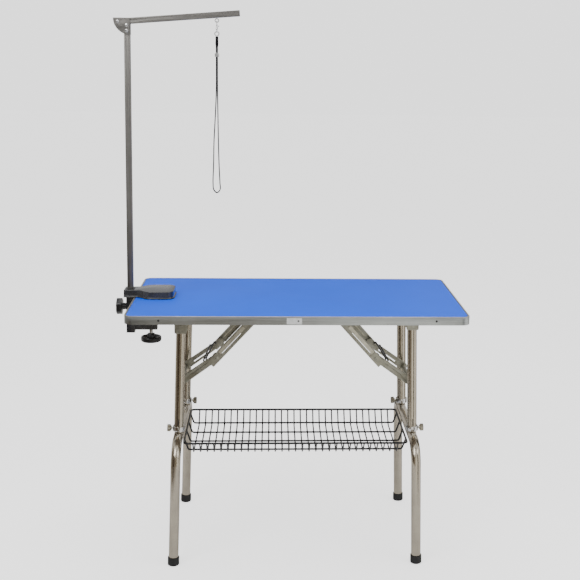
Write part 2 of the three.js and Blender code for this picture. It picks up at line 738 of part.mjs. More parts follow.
class FlatPath extends PointPath {
  // The strap's width stays along Y all the way round.
  computeFrenetFrames(segments) {
    const frames = { tangents: [], normals: [], binormals: [] };
    for (let i = 0; i <= segments; i++) {
      const tangent = this.getTangentAt(i / segments);
      const normal = at(0, 1, 0);
      frames.tangents.push(tangent);
      frames.normals.push(normal);
      frames.binormals.push(tangent.clone().cross(normal));
    }
    return frames;
  }
}

const LOOP_STEPS = 40;
add(model, "noose_loop", new THREE.ExtrudeGeometry(strapSection, {
  steps: LOOP_STEPS,
  extrudePath: new FlatPath(loopCurve.getSpacedPoints(LOOP_STEPS)),
  bevelEnabled: false,
}), NYLON);

export default model;
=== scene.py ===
import json
import math

import bmesh
import bpy
from bpy.props import FloatProperty, FloatVectorProperty, IntProperty, PointerProperty
from mathutils import Matrix, Vector


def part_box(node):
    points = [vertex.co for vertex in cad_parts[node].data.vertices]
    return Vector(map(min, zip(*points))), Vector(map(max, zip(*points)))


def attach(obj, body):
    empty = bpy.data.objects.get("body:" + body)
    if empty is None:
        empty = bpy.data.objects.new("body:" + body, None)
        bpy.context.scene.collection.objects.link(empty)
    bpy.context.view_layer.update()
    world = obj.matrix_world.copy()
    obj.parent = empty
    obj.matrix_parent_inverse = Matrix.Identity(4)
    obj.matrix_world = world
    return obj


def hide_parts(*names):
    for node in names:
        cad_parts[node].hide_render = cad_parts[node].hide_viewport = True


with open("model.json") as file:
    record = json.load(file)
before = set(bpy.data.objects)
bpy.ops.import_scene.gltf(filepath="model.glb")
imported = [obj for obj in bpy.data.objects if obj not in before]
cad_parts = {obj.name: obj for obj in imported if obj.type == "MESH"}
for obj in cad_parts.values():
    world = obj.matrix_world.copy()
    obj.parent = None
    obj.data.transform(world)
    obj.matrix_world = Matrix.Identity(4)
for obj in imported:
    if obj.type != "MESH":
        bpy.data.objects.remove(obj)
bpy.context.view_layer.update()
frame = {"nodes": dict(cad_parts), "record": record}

bl_info = {
    "name": "Grooming table finish",
    "version": (1, 0, 0),
    "blender": (4, 5, 0),
    "location": "3D View > Sidebar > Grooming",
    "description": "Gives the packed grooming table its surfaces, wire basket, strap and studio",
    "category": "Object",
}

MM = 0.001
ENDS = ("left", "right")
ROWS = ("front", "rear")
TUBE_WALL = 2 * MM

# The part's own dimensions that no node's box shows: the knuckles' place on either side of the
# braces' middle, how far that middle is moved to the right, and the arm's slope.
KNUCKLE_X, KNUCKLE_Z = 267.5 * MM, 660.5 * MM
CENTRING = 31 * MM
ARM_TILT = math.radians(4.9)

JOINTS = {joint["name"]: joint for joint in frame["record"]["behaviour"]["joints"]}


# ------------------------------------------------------------------ places taken from the frame

def low_high(node):
    """A node's lowest and highest corner as vectors."""
    low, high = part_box(node)
    return Vector(low), Vector(high)


def middle(node):
    low, high = low_high(node)
    return (low + high) / 2


def outwards(row):
    """The way along Y that a row's outer faces look."""
    return -1 if row == "front" else 1


def outer_y(node, row):
    low, high = low_high(node)
    return low.y if row == "front" else high.y


def knuckle_at(end):
    """The pivot between an end's upper and lower brace arms."""
    sign = 1 if end == "right" else -1
    return Vector((KNUCKLE_X * sign + CENTRING, 0, KNUCKLE_Z))


def brace_foot(end):
    """The middle of the cross tube that the lower arms turn on."""
    centre = middle(f"cross_tube_{end}")
    return Vector((centre.x, 0, centre.z))


def upwards(along):
    """The way across an arm, in the plane it turns in, that points up."""
    across = Vector((0, 1, 0)).cross(along)
    return -across if across.z < 0 else across


class LegLine:
    """One leg frame's own line: its hinge point and the direction down its tubes."""

    def __init__(self, end):
        self.end = end
        self.hinge = Vector(JOINTS[f"{end}_fold"]["pos_m"])
        axis = Vector(JOINTS[f"{end}_extension"]["axis"]).normalized()
        self.down = axis if axis.z < 0 else -axis

    def along_at(self, z):
        return (self.hinge.z - z) / -self.down.z

    def point(self, along, y=0.0, out=0.0):
        """A point this far down the leg, at depth y, and this far outwards from the leg's plane."""
        side = Vector((-self.down.z, 0, self.down.x))
        sign = 1 if self.end == "right" else -1
        return self.hinge + self.down * along + Vector((0, y, 0)) + side * (out * sign)


# ------------------------------------------------------------------ user-set sizes and colours

def size_mm(name, description, default):
    return FloatProperty(
        name=name, description=description, default=default * MM, unit="LENGTH", precision=4,
    )


def colour(name, description, default):
    return FloatVectorProperty(
        name=name, description=description, default=default, subtype="COLOR", size=3,
        min=0.0, max=1.0,
    )


class GroomingColours(bpy.types.PropertyGroup):
    """Colours of the table's finishes."""

    mat: colour("Mat", "Blue of the rubber mat", (0.0, 0.115, 1.0))
    steel: colour("Steel", "Tone of the stainless tubes", (0.5, 0.45, 0.365))
    zinc: colour("Zinc", "Tone of the galvanised braces and brackets", (0.36, 0.355, 0.3))
    trim: colour("Trim", "Tone of the aluminium edge trim", (0.46, 0.485, 0.485))
    casting: colour("Casting", "Black of the clamp's castings", (0.016, 0.016, 0.018))
    wire: colour("Wire", "Black of the basket's coating", (0.005, 0.005, 0.0055))
    rubber: colour("Rubber feet", "Black of the rubber feet", (0.007, 0.007, 0.0075))
    nylon: colour("Strap", "Black of the nylon strap", (0.002, 0.002, 0.0025))


class GroomingSizes(bpy.types.PropertyGroup):
    """Sizes of the pieces that are made here."""

    tube_sides: IntProperty(
        name="Tube sides", description="Sides of a round tube's section", default=48, min=12,
    )
    bend_steps: IntProperty(
        name="Bend steps", description="Sections in one tube bend", default=20, min=6,
    )
    rim_wire: size_mm("Rim wire", "Radius of the basket's rim wire", 3.5)
    cross_wire: size_mm("Cross wire", "Radius of the basket's cross wires", 2.5)
    runner_wire: size_mm("Runner wire", "Radius of the basket's long wires", 3.1)
    wire_pitch: size_mm("Wire pitch", "Distance between two cross wires", 22.9)
    cross_wires: IntProperty(
        name="Cross wires", description="Number of cross wires", default=31, min=2,
    )
    strap_width: size_mm("Strap width", "Width of the noose strap", 10.0)
    strap_thickness: size_mm("Strap thickness", "Thickness of the noose strap", 3.6)
    trim_screw: size_mm("Trim screw", "Radius of a trim screw's head", 3.6)


def colours():
    return bpy.context.scene.grooming_colours


def sizes():
    return bpy.context.scene.grooming_sizes


# ------------------------------------------------------------------ node helpers

class Tree:
    """A short way to add and wire nodes in one node tree."""

    def __init__(self, tree):
        self.tree = tree

    def add(self, kind, inputs=None, **settings):
        node = self.tree.nodes.new(kind)
        for key, value in settings.items():
            setattr(node, key, value)
        for key, value in (inputs or {}).items():
            socket = node.inputs[key]
            if isinstance(value, bpy.types.NodeSocket):
                self.tree.links.new(value, socket)
            else:
                socket.default_value = value
        return node

    def link(self, source, target):
        self.tree.links.new(source, target)


def new_material(name):
    material = bpy.data.materials.new(name)
    material.use_nodes = True
    material.node_tree.nodes.clear()
    return material, Tree(material.node_tree)


def rgba(tone, scale=1.0):
    return (*[min(channel * scale, 1.0) for channel in tone], 1.0)


def mapped(tree, stretch):
    """Object coordinates scaled along each axis."""
    coords = tree.add("ShaderNodeTexCoord")
    mapping = tree.add("ShaderNodeMapping", {"Vector": coords.outputs["Object"], "Scale": stretch})
    return mapping.outputs["Vector"]


def mottled(tree, vector, scale, detail, low, high, start=0.35, end=0.65):
    """Noise turned into a ramp between two colours."""
    noise = tree.add("ShaderNodeTexNoise", {"Vector": vector, "Scale": scale, "Detail": detail})
    ramp = tree.add("ShaderNodeValToRGB", {"Fac": noise.outputs["Fac"]})
    ramp.color_ramp.elements[0].position = start
    ramp.color_ramp.elements[0].color = low
    ramp.color_ramp.elements[1].position = end
    ramp.color_ramp.elements[1].color = high
    return ramp.outputs["Color"], noise.outputs["Fac"]


def ranged(tree, value, low, high):
    """A 0 to 1 value spread between two numbers."""
    node = tree.add("ShaderNodeMapRange", {"Value": value, "To Min": low, "To Max": high})
    return node.outputs["Result"]


def multiplied(tree, first, second):
    """Two colours multiplied."""
    mixed = tree.add("ShaderNodeMix", data_type="RGBA", blend_type="MULTIPLY")
    mixed.inputs["Factor"].default_value = 1.0
    tree.link(first, mixed.inputs["A"])
    tree.link(second, mixed.inputs["B"])
    return mixed.outputs["Result"]


def finish_shader(tree, base, rough, height=None, bump=0.1, distance=0.0002, **fixed):
    """The Principled shader, with its bump, wired to the output."""
    inputs = {"Base Color": base, "Roughness": rough}
    if height is not None:
        relief = tree.add(
            "ShaderNodeBump", {"Strength": bump, "Distance": distance, "Height": height},
        )
        inputs["Normal"] = relief.outputs["Normal"]
    shader = tree.add("ShaderNodeBsdfPrincipled", inputs)
    for key, value in fixed.items():
        shader.inputs[key.replace("_", " ")].default_value = value
    output = tree.add("ShaderNodeOutputMaterial")
    tree.link(shader.outputs["BSDF"], output.inputs["Surface"])


# ------------------------------------------------------------------ finishes

def brushed_metal(name, tone, stretch, rough, scale=60.0, bump=0.05, contrast=0.14):
    """Metal with fine lines along one axis, faint blotches and uneven gloss."""
    material, tree = new_material(name)
    lines = mapped(tree, stretch)
    plain = mapped(tree, (1, 1, 1))
    streak, fac = mottled(
        tree, lines, scale, 6.0, rgba(tone, 1 - contrast), rgba(tone, 1 + contrast),
    )
    blotch, _ = mottled(tree, plain, 22.0, 3.0, (0.86, 0.86, 0.86, 1), (1, 1, 1, 1), 0.3, 0.7)
    finish_shader(
        tree, multiplied(tree, streak, blotch), ranged(tree, fac, rough - 0.06, rough + 0.08),
        height=fac, bump=bump, distance=0.0001, Metallic=1.0,
    )
    return material


def tube_steel():
    return brushed_metal("polished_tube", colours().steel, (1, 1, 0.04), 0.2, 60.0, 0.015, 0.07)


def bent_steel():
    return brushed_metal("bent_tube", colours().steel, (1, 0.5, 0.12), 0.2, 60.0, 0.015, 0.07)


def square_steel(name, stretch):
    return brushed_metal(name, (0.24, 0.23, 0.215), stretch, 0.38, 120.0, 0.05, 0.12)


def chrome():
    material, tree = new_material("bright_chrome")
    vector = mapped(tree, (1, 1, 1))
    tint, fac = mottled(tree, vector, 45.0, 4.0, (0.62, 0.62, 0.61, 1), (0.78, 0.78, 0.78, 1))
    finish_shader(tree, tint, ranged(tree, fac, 0.1, 0.22), fac, 0.02, 0.0001, Metallic=1.0)
    return material


def edge_aluminium():
    return brushed_metal("edge_aluminium", colours().trim, (0.02, 0.02, 1), 0.36, 260.0, 0.06, 0.1)


def galvanised():
    """Zinc with soft spangle, dulled in patches."""
    material, tree = new_material("galvanised_sheet")
    vector = mapped(tree, (1, 1, 1))
    spangle = tree.add("ShaderNodeTexVoronoi", {"Vector": vector, "Scale": 150.0})
    tone = colours().zinc
    flake = tree.add("ShaderNodeValToRGB", {"Fac": spangle.outputs["Color"]})
    flake.color_ramp.elements[0].color = rgba(tone, 0.86)
    flake.color_ramp.elements[1].color = rgba(tone, 1.14)
    dull, fac = mottled(tree, vector, 28.0, 5.0, (0.78, 0.77, 0.72, 1), (1, 1, 1, 1), 0.3, 0.62)
    finish_shader(
        tree, multiplied(tree, flake.outputs["Color"], dull), ranged(tree, fac, 0.34, 0.5),
        fac, 0.08, 0.0002, Metallic=0.85,
    )
    return material


def mat_rubber():
    """Blue rubber with a fine pebble grain and faint rubbed patches."""
    material, tree = new_material("blue_mat_rubber")
    vector = mapped(tree, (1, 1, 1))
    tone = colours().mat
    base, _ = mottled(tree, vector, 5.0, 6.0, rgba(tone, 0.94), rgba(tone, 1.05), 0.3, 0.7)
    pebble = tree.add(
        "ShaderNodeTexVoronoi", {"Vector": vector, "Scale": 420.0, "Smoothness": 0.6},
        feature="SMOOTH_F1",
    )
    rub = tree.add("ShaderNodeTexNoise", {"Vector": vector, "Scale": 2.2, "Detail": 8.0})
    finish_shader(
        tree, base, ranged(tree, rub.outputs["Fac"], 0.5, 0.62), pebble.outputs["Distance"],
        0.35, 0.0005, Specular_IOR_Level=0.3,
    )
    return material


def black_coat(name, tone, rough, grain, bump, coat=0.0):
    """Black paint, rubber or plastic with its own grain."""
    material, tree = new_material(name)
    vector = mapped(tree, (1, 1, 1))
    base, fac = mottled(tree, vector, grain / 6, 5.0, rgba(tone, 0.75), rgba(tone, 1.5))
    skin = tree.add("ShaderNodeTexNoise", {"Vector": vector, "Scale": grain, "Detail": 3.0})
    finish_shader(
        tree, base, ranged(tree, fac, rough - 0.05, rough + 0.08), skin.outputs["Fac"],
        bump, 0.0003, Coat_Weight=coat, Coat_Roughness=0.08,
    )
    return material


def nylon():
    """Black webbing: diagonal ribs across the strap, from its own map."""
    material, tree = new_material("black_webbing")
    uv = tree.add("ShaderNodeUVMap", uv_map="strap")
    turned = tree.add(
        "ShaderNodeMapping",
        {"Vector": uv.outputs["UV"], "Rotation": (0, 0, 0.6), "Scale": (1, 1, 1)},
    )
    ribs = tree.add(
        "ShaderNodeTexWave",
        {"Vector": turned.outputs["Vector"], "Scale": 420.0, "Distortion": 0.4, "Detail": 1.0},
    )
    tone = colours().nylon
    ramp = tree.add("ShaderNodeValToRGB", {"Fac": ribs.outputs["Fac"]})
    ramp.color_ramp.elements[0].color = rgba(tone, 0.6)
    ramp.color_ramp.elements[1].color = rgba(tone, 2.6)
    finish_shader(
        tree, ramp.outputs["Color"], ranged(tree, ribs.outputs["Fac"], 0.85, 0.6),
        ribs.outputs["Fac"], 0.5, 0.0004, Specular_IOR_Level=0.25,
    )
    return material


def plywood():
    material, tree = new_material("board_underside")
    vector = mapped(tree, (0.12, 1, 1))
    tint, fac = mottled(tree, vector, 40.0, 8.0, (0.2, 0.16, 0.12, 1), (0.3, 0.25, 0.2, 1))
    finish_shader(tree, tint, ranged(tree, fac, 0.55, 0.75), fac, 0.2, 0.0004)
    return material


def label_plastic():
    material, tree = new_material("plain_label")
    vector = mapped(tree, (1, 1, 1))
    tint, fac = mottled(tree, vector, 90.0, 4.0, (0.62, 0.63, 0.62, 1), (0.72, 0.72, 0.71, 1))
    finish_shader(tree, tint, ranged(tree, fac, 0.35, 0.5), fac, 0.05, 0.0001)
    return material


FINISHES = {}


def finish(name):
    """Each finish is made once and shared."""
    makers = {
        "tube": tube_steel,
        "bent": bent_steel,
        "post": lambda: square_steel("post_steel", (1, 1, 0.04)),
        "arm": lambda: square_steel("arm_steel", (0.04, 1, 1)),
        "chrome": chrome,
        "trim": edge_aluminium,
        "bar": lambda: brushed_metal("brace_bar_steel", (0.6, 0.58, 0.48), (1, 1, 1), 0.45),
        "screw": lambda: brushed_metal("screw_steel", (0.36, 0.335, 0.27), (1, 1, 1), 0.28),
        # painted highlight: the rolled edge gets a brighter, warmer copy of the trim's metal
        "lip_highlight": lambda: brushed_metal("rolled_edge_highlight", (0.8, 0.74, 0.64), (1, 1, 1), 0.3),
        "zinc": galvanised,
        "mat": mat_rubber,
        "casting": lambda: black_coat("gloss_casting", colours().casting, 0.24, 160.0, 0.15, 0.5),
        "knob": lambda: black_coat("knob_plastic", (0.006, 0.006, 0.0065), 0.3, 300.0, 0.06, 0.2),
        "wire": lambda: black_coat("coated_wire", colours().wire, 0.35, 400.0, 0.05),
        "rubber": lambda: black_coat("foot_rubber", colours().rubber, 0.62, 500.0, 0.3),
        "nylon": nylon,
        "plywood": plywood,
        "label": label_plastic,
    }
    if name not in FINISHES:
        FINISHES[name] = makers[name]()
    return FINISHES[name]


# ------------------------------------------------------------------ mesh helpers

def in_scene(name, data):
    """A new object that shows in the scene."""
    holder = bpy.data.objects.new(name, data)
    bpy.context.scene.collection.objects.link(holder)
    return holder


def written(bm, name, material):
    """A bmesh made into a piece of one material."""
    mesh = bpy.data.meshes.new(name)
    bm.to_mesh(mesh)
    bm.free()
    mesh.materials.append(material)
    return in_scene(name, mesh)


def soften(bm, sharp_degrees):
    """Smooth faces, with crisp edges where two faces meet at more than an angle."""
    limit = math.radians(sharp_degrees)
    for face in bm.faces:
        face.smooth = True
    for edge in bm.edges:
        edge.smooth = len(edge.link_faces) == 2 and edge.calc_face_angle(0.0) < limit


def from_bmesh(bm, name, material, sharp_degrees=35.0):
    """A bmesh made into a piece with soft curved faces and crisp edges."""
    bmesh.ops.remove_doubles(bm, verts=bm.verts, dist=1e-6)
    bmesh.ops.recalc_face_normals(bm, faces=bm.faces)
    soften(bm, sharp_degrees)
    return written(bm, name, material)


def loft(bm, rings, endless=False):
    """Walls between rings of points, one after another, with flat ends unless it is endless."""
    rings = [[bm.verts.new(point) for point in ring] for ring in rings]
    for ring, ahead in zip(rings, rings[1:] + rings[:1] if endless else rings[1:]):
        for k in range(len(ring)):
            after = (k + 1) % len(ring)
            bm.faces.new((ring[k], ring[after], ahead[after], ahead[k]))
    if not endless:
        bm.faces.new(list(reversed(rings[0])))
        bm.faces.new(rings[-1])


def cross_frame(tangent, hint):
    """Two unit vectors across a tangent, the first as near as possible to the hint."""
    first = (hint - tangent * hint.dot(tangent)).normalized()
    return first, tangent.cross(first)


def tangents(points):
    result = []
    for i, _ in enumerate(points):
        before = points[max(i - 1, 0)]
        after = points[min(i + 1, len(points) - 1)]
        result.append((after - before).normalized())
    return result


def sweep(bm, points, section, hints, closed_ends=True, uv=None):
    """Sweeps a closed section of (across, up) pairs along points. hints turn the section."""
    rings = []
    for point, tangent, hint in zip(points, tangents(points), hints):
        across, up = cross_frame(tangent, hint)
        rings.append([bm.verts.new(point + across * a + up * b) for a, b in section])
    count = len(section)
    lengths = [0.0]
    for a, b in zip(points, points[1:]):
        lengths.append(lengths[-1] + (b - a).length)
    for i in range(len(rings) - 1):
        for k in range(count):
            after = (k + 1) % count
            quad = (rings[i][k], rings[i][after], rings[i + 1][after], rings[i + 1][k])
            face = bm.faces.new(quad)
            if uv is not None:
                ends = (lengths[i], lengths[i], lengths[i + 1], lengths[i + 1])
                for loop, v, place in zip(face.loops, ends, (k, k + 1, k + 1, k)):
                    loop[uv].uv = (place * 0.002, v)
    if closed_ends:
        bm.faces.new(list(reversed(rings[0])))
        bm.faces.new(rings[-1])
    return rings


def circle(radius, sides):
    return [
        (radius * math.cos(2 * math.pi * k / sides), radius * math.sin(2 * math.pi * k / sides))
        for k in range(sides)
    ]


def pipe(bm, points, radius, wall, sides):
    """A hollow tube with open ends along points, with flat rims between its outer and inner walls."""
    hint = Vector((1, 0, 0))
    hints = [hint] * len(points)
    outer = sweep(bm, points, circle(radius, sides), hints, closed_ends=False)
    inner = sweep(bm, points, circle(radius - wall, sides), hints, closed_ends=False)
    for end in (0, -1):
        for k in range(sides):
            after = (k + 1) % sides
            bm.faces.new((outer[end][k], outer[end][after], inner[end][after], inner[end][k]))


def arc(centre, start, end, steps):
    """Points from centre + start to centre + end, a quarter circle apart."""
    points = []
    for k in range(steps + 1):
        angle = k / steps * math.pi / 2
        points.append(centre + start * math.cos(angle) + end * math.sin(angle))
    return points


def lathe(bm, origin, axis, profile, sides):
    """Turns (radius, height) pairs about an axis. The profile starts and ends on the axis."""
    axis = axis.normalized()
    hint = Vector((0, 1, 0)) if abs(axis.y) < 0.9 else Vector((1, 0, 0))
    across, up = cross_frame(axis, hint)
    rings = []
    for radius, height in profile:
        base = origin + axis * height
        if radius < 1e-9:
            rings.append([bm.verts.new(base)])
            continue
        rings.append([
            bm.verts.new(base + across * a + up * b) for a, b in circle(radius, sides)
        ])
    for low, high in zip(rings, rings[1:]):
        for k in range(sides):
            after = (k + 1) % sides
            corners = [low[k % len(low)], low[after % len(low)],
                       high[after % len(high)], high[k % len(high)]]
            unique = list(dict.fromkeys(corners))
            if len(unique) > 2:
                bm.faces.new(unique)


def bevelled(piece, width_mm, segments=3):
    """Rounds a piece's sharp edges for good."""
    modifier = piece.modifiers.new("edge", "BEVEL")
    modifier.width = width_mm * MM
    modifier.segments = segments
    modifier.limit_method = "ANGLE"
    modifier.angle_limit = math.radians(35.0)
    modifier.harden_normals = False
    return made_plain(piece)


def made_plain(piece):
    """Applies a piece's modifiers, so its mesh is what shows."""
    graph = bpy.context.evaluated_depsgraph_get()
    mesh = bpy.data.meshes.new_from_object(piece.evaluated_get(graph))
    old = piece.data
    piece.modifiers.clear()
    piece.data = mesh
    mesh.name = piece.name
    bpy.data.meshes.remove(old)
    return piece


def copy_of(node, name, material, bevel_mm, segments=3, cutter=None):
    """A welded, edge-rounded copy of a CAD node, which it replaces."""
    source = frame["nodes"][node]
    bm = bmesh.new()
    bm.from_mesh(source.data)
    bmesh.ops.remove_doubles(bm, verts=bm.verts, dist=2e-6)
    bmesh.ops.dissolve_limit(
        bm, angle_limit=math.radians(1.0), verts=bm.verts, edges=bm.edges,
    )
    for face in bm.faces:
        face.smooth = True
    piece = written(bm, name, material)
    if cutter is not None:
        cut = piece.modifiers.new("cut", "BOOLEAN")
        cut.operation = "DIFFERENCE"
        cut.solver = "EXACT"
        cut.object = cutter
        made_plain(piece)
        bpy.data.objects.remove(cutter)
    if bevel_mm:
        bevelled(piece, bevel_mm, segments)
    bm = bmesh.new()
    bm.from_mesh(piece.data)
    soften(bm, 28.0)
    bm.to_mesh(piece.data)
    bm.free()
    return piece


def settle(piece, body, slot, *nodes):
    """Rides a finished piece on its body and hides what it stands for."""
    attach(piece, body)
    if nodes:
        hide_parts(*nodes)
    return piece


def body_of(node):
    return next(
        body for body, nodes in frame["record"]["behaviour"]["bodies"].items() if node in nodes
    )


def redo(node, finish_name, slot, bevel_mm, segments=3):
    """Replaces one CAD node by its welded, edge-rounded copy."""
    piece = copy_of(node, f"{node}_fine", finish(finish_name), bevel_mm, segments)
    return settle(piece, body_of(node), slot, node)


# ------------------------------------------------------------------ geometry nodes

def row_tree(name, item):
    """A tree that repeats something along a line. item adds its own nodes."""
    group = bpy.data.node_groups.new(name, "GeometryNodeTree")
    face = group.interface
    face.new_socket("Geometry", in_out="INPUT", socket_type="NodeSocketGeometry")
    face.new_socket("Geometry", in_out="OUTPUT", socket_type="NodeSocketGeometry")
    for label, kind in (
        ("Count", "NodeSocketInt"), ("Step", "NodeSocketVector"),
        ("Radius", "NodeSocketFloat"), ("Corner", "NodeSocketFloat"),
        ("Sides", "NodeSocketInt"), ("Finish", "NodeSocketMaterial"),
    ):
        face.new_socket(label, in_out="INPUT", socket_type=kind)
    tree = Tree(group)
    entry = tree.add("NodeGroupInput")
    shape = item(tree, entry)
    line = tree.add("GeometryNodeMeshLine", {
        "Count": entry.outputs["Count"], "Offset": entry.outputs["Step"],
    }, mode="OFFSET")
    copies = tree.add("GeometryNodeInstanceOnPoints", {
        "Points": line.outputs["Mesh"], "Instance": shape,
    })
    real = tree.add("GeometryNodeRealizeInstances", {"Geometry": copies.outputs["Instances"]})
    smooth = tree.add("GeometryNodeSetShadeSmooth", {"Geometry": real.outputs["Geometry"]})
    painted = tree.add("GeometryNodeSetMaterial", {
        "Geometry": smooth.outputs["Geometry"], "Material": entry.outputs["Finish"],
    })
    leave = tree.add("NodeGroupOutput")
    tree.link(painted.outputs["Geometry"], leave.inputs["Geometry"])
    return group


def wire_item(tree, entry):
    """Edges become round wire with rounded corners."""
    curve = tree.add("GeometryNodeMeshToCurve", {"Mesh": entry.outputs["Geometry"]})
    corner = tree.add("GeometryNodeFilletCurve", {
        "Curve": curve.outputs["Curve"], "Radius": entry.outputs["Corner"],
    })
    if "Limit Radius" in corner.inputs:
        corner.inputs["Limit Radius"].default_value = True
    corner.mode = "POLY"
    corner.inputs["Count"].default_value = 5
    ring = tree.add("GeometryNodeCurvePrimitiveCircle", {
        "Radius": entry.outputs["Radius"], "Resolution": entry.outputs["Sides"],
    })
    wire = tree.add("GeometryNodeCurveToMesh", {
        "Curve": corner.outputs["Curve"], "Profile Curve": ring.outputs["Curve"],
        "Fill Caps": True,
    })
    return wire.outputs["Mesh"]


def solid_item(tree, entry):
    """The mesh itself is repeated."""
    return entry.outputs["Geometry"]


def wire_row():
    """The tree that turns edges into wires, made once."""
    return bpy.data.node_groups.get("wire_row") or row_tree("wire_row", wire_item)


def repeated(
    name, tree, mesh, finish_name, count=1, step=(0, 0, 0), radius=0.0, corner=0.0, sides=8,
):
    """Runs a row tree on a mesh and returns the plain result."""
    holder = in_scene(name, mesh)
    modifier = holder.modifiers.new("row", "NODES")
    modifier.node_group = tree
    values = {
        "Count": count, "Step": step, "Radius": radius, "Corner": corner, "Sides": sides,
        "Finish": finish(finish_name),
    }
    for socket in tree.interface.items_tree:
        if socket.in_out == "INPUT" and socket.name in values:
            modifier[socket.identifier] = values[socket.name]
    holder.update_tag()
    return made_plain(holder)


def edge_mesh(name, points, closed=False):
    mesh = bpy.data.meshes.new(name)
    edges = [(i, i + 1) for i in range(len(points) - 1)]
    if closed:
        edges.append((len(points) - 1, 0))
    mesh.from_pydata([tuple(point) for point in points], edges, [])
    return mesh


def joined(name, pieces):
    """Several pieces made one mesh object."""
    bm = bmesh.new()
    for piece in pieces:
        bm.from_mesh(piece.data)
    mesh = bpy.data.meshes.new(name)
    bm.to_mesh(mesh)
    bm.free()
    mesh.materials.append(pieces[0].data.materials[0])
    for polygon in mesh.polygons:
        polygon.material_index = 0
    for piece in pieces:
        bpy.data.objects.remove(piece)
    return in_scene(name, mesh)


# ------------------------------------------------------------------ operators

class PieceOperator:
    bl_options = {"REGISTER", "UNDO"}

    def execute(self, context):
        self.make()
        return {"FINISHED"}


class GROOMING_OT_top(PieceOperator, bpy.types.Operator):
    """Make the mat, edge trim, board, label and trim screws"""

    bl_idname = "grooming.top"
    bl_label = "Top"

    def make(self):
        redo("rubber_mat", "mat", "blue_rubber", 0.9)
        redo("edge_trim", "trim", "aluminium_trim", 0.35)
        redo("top_board", "plywood", "plywood", 0.4)
        redo("blank_label", "label", "white_label", 0.25)
        self.lip_highlight()
        self.screws()

    def lip_highlight(self):
        """The trim's rolled edge around the mat: its round shape is real, its bright pale tone is a
        painted highlight along the trim's top edge.
        """
        low, high = low_high("edge_trim")
        roll, trim_corner, sunk = 1.5 * MM, 28 * MM, 1.0 * MM
        ring = [
            Vector((x, y, high.z - sunk)) for x, y in (
                (low.x + roll, low.y + roll), (high.x - roll, low.y + roll),
                (high.x - roll, high.y - roll), (low.x + roll, high.y - roll),
            )
        ]
        lip_highlight = repeated(
            "trim_lip_highlight", wire_row(), edge_mesh("lip_highlight", ring, closed=True), "lip_highlight",
            radius=roll, corner=trim_corner - roll, sides=12,
        )
        settle(lip_highlight, "table_top", "aluminium_trim")

    def screws(self):
        low, high = low_high("edge_trim")
        radius = sizes().trim_screw
        spread = 0.4 * (high.x - low.x)
        place = (low.z + high.z) / 2
        tree = row_tree("screw_row", solid_item)
        for side in ROWS:
            bm = bmesh.new()
            origin = Vector(((low.x + high.x) / 2 - spread, outer_y("edge_trim", side), place))
            dome = [
                (0, -0.2 * MM), (radius, -0.2 * MM), (radius, 0.35 * MM), (0.85 * radius, 0.9 * MM),
                (0.5 * radius, 1.25 * MM), (0.28 * radius, 1.3 * MM), (0.24 * radius, 0.7 * MM),
                (0, 0.6 * MM),
            ]
            lathe(bm, origin, Vector((0, outwards(side), 0)), dome, 20)
            pattern = from_bmesh(bm, f"trim_screw_{side}", finish("knob"))
            head = pattern.data.copy()
            bpy.data.objects.remove(pattern)
            row = repeated(f"trim_screws_{side}", tree, head, "knob", 3, (spread, 0, 0))
            settle(row, "table_top", "black_knob")


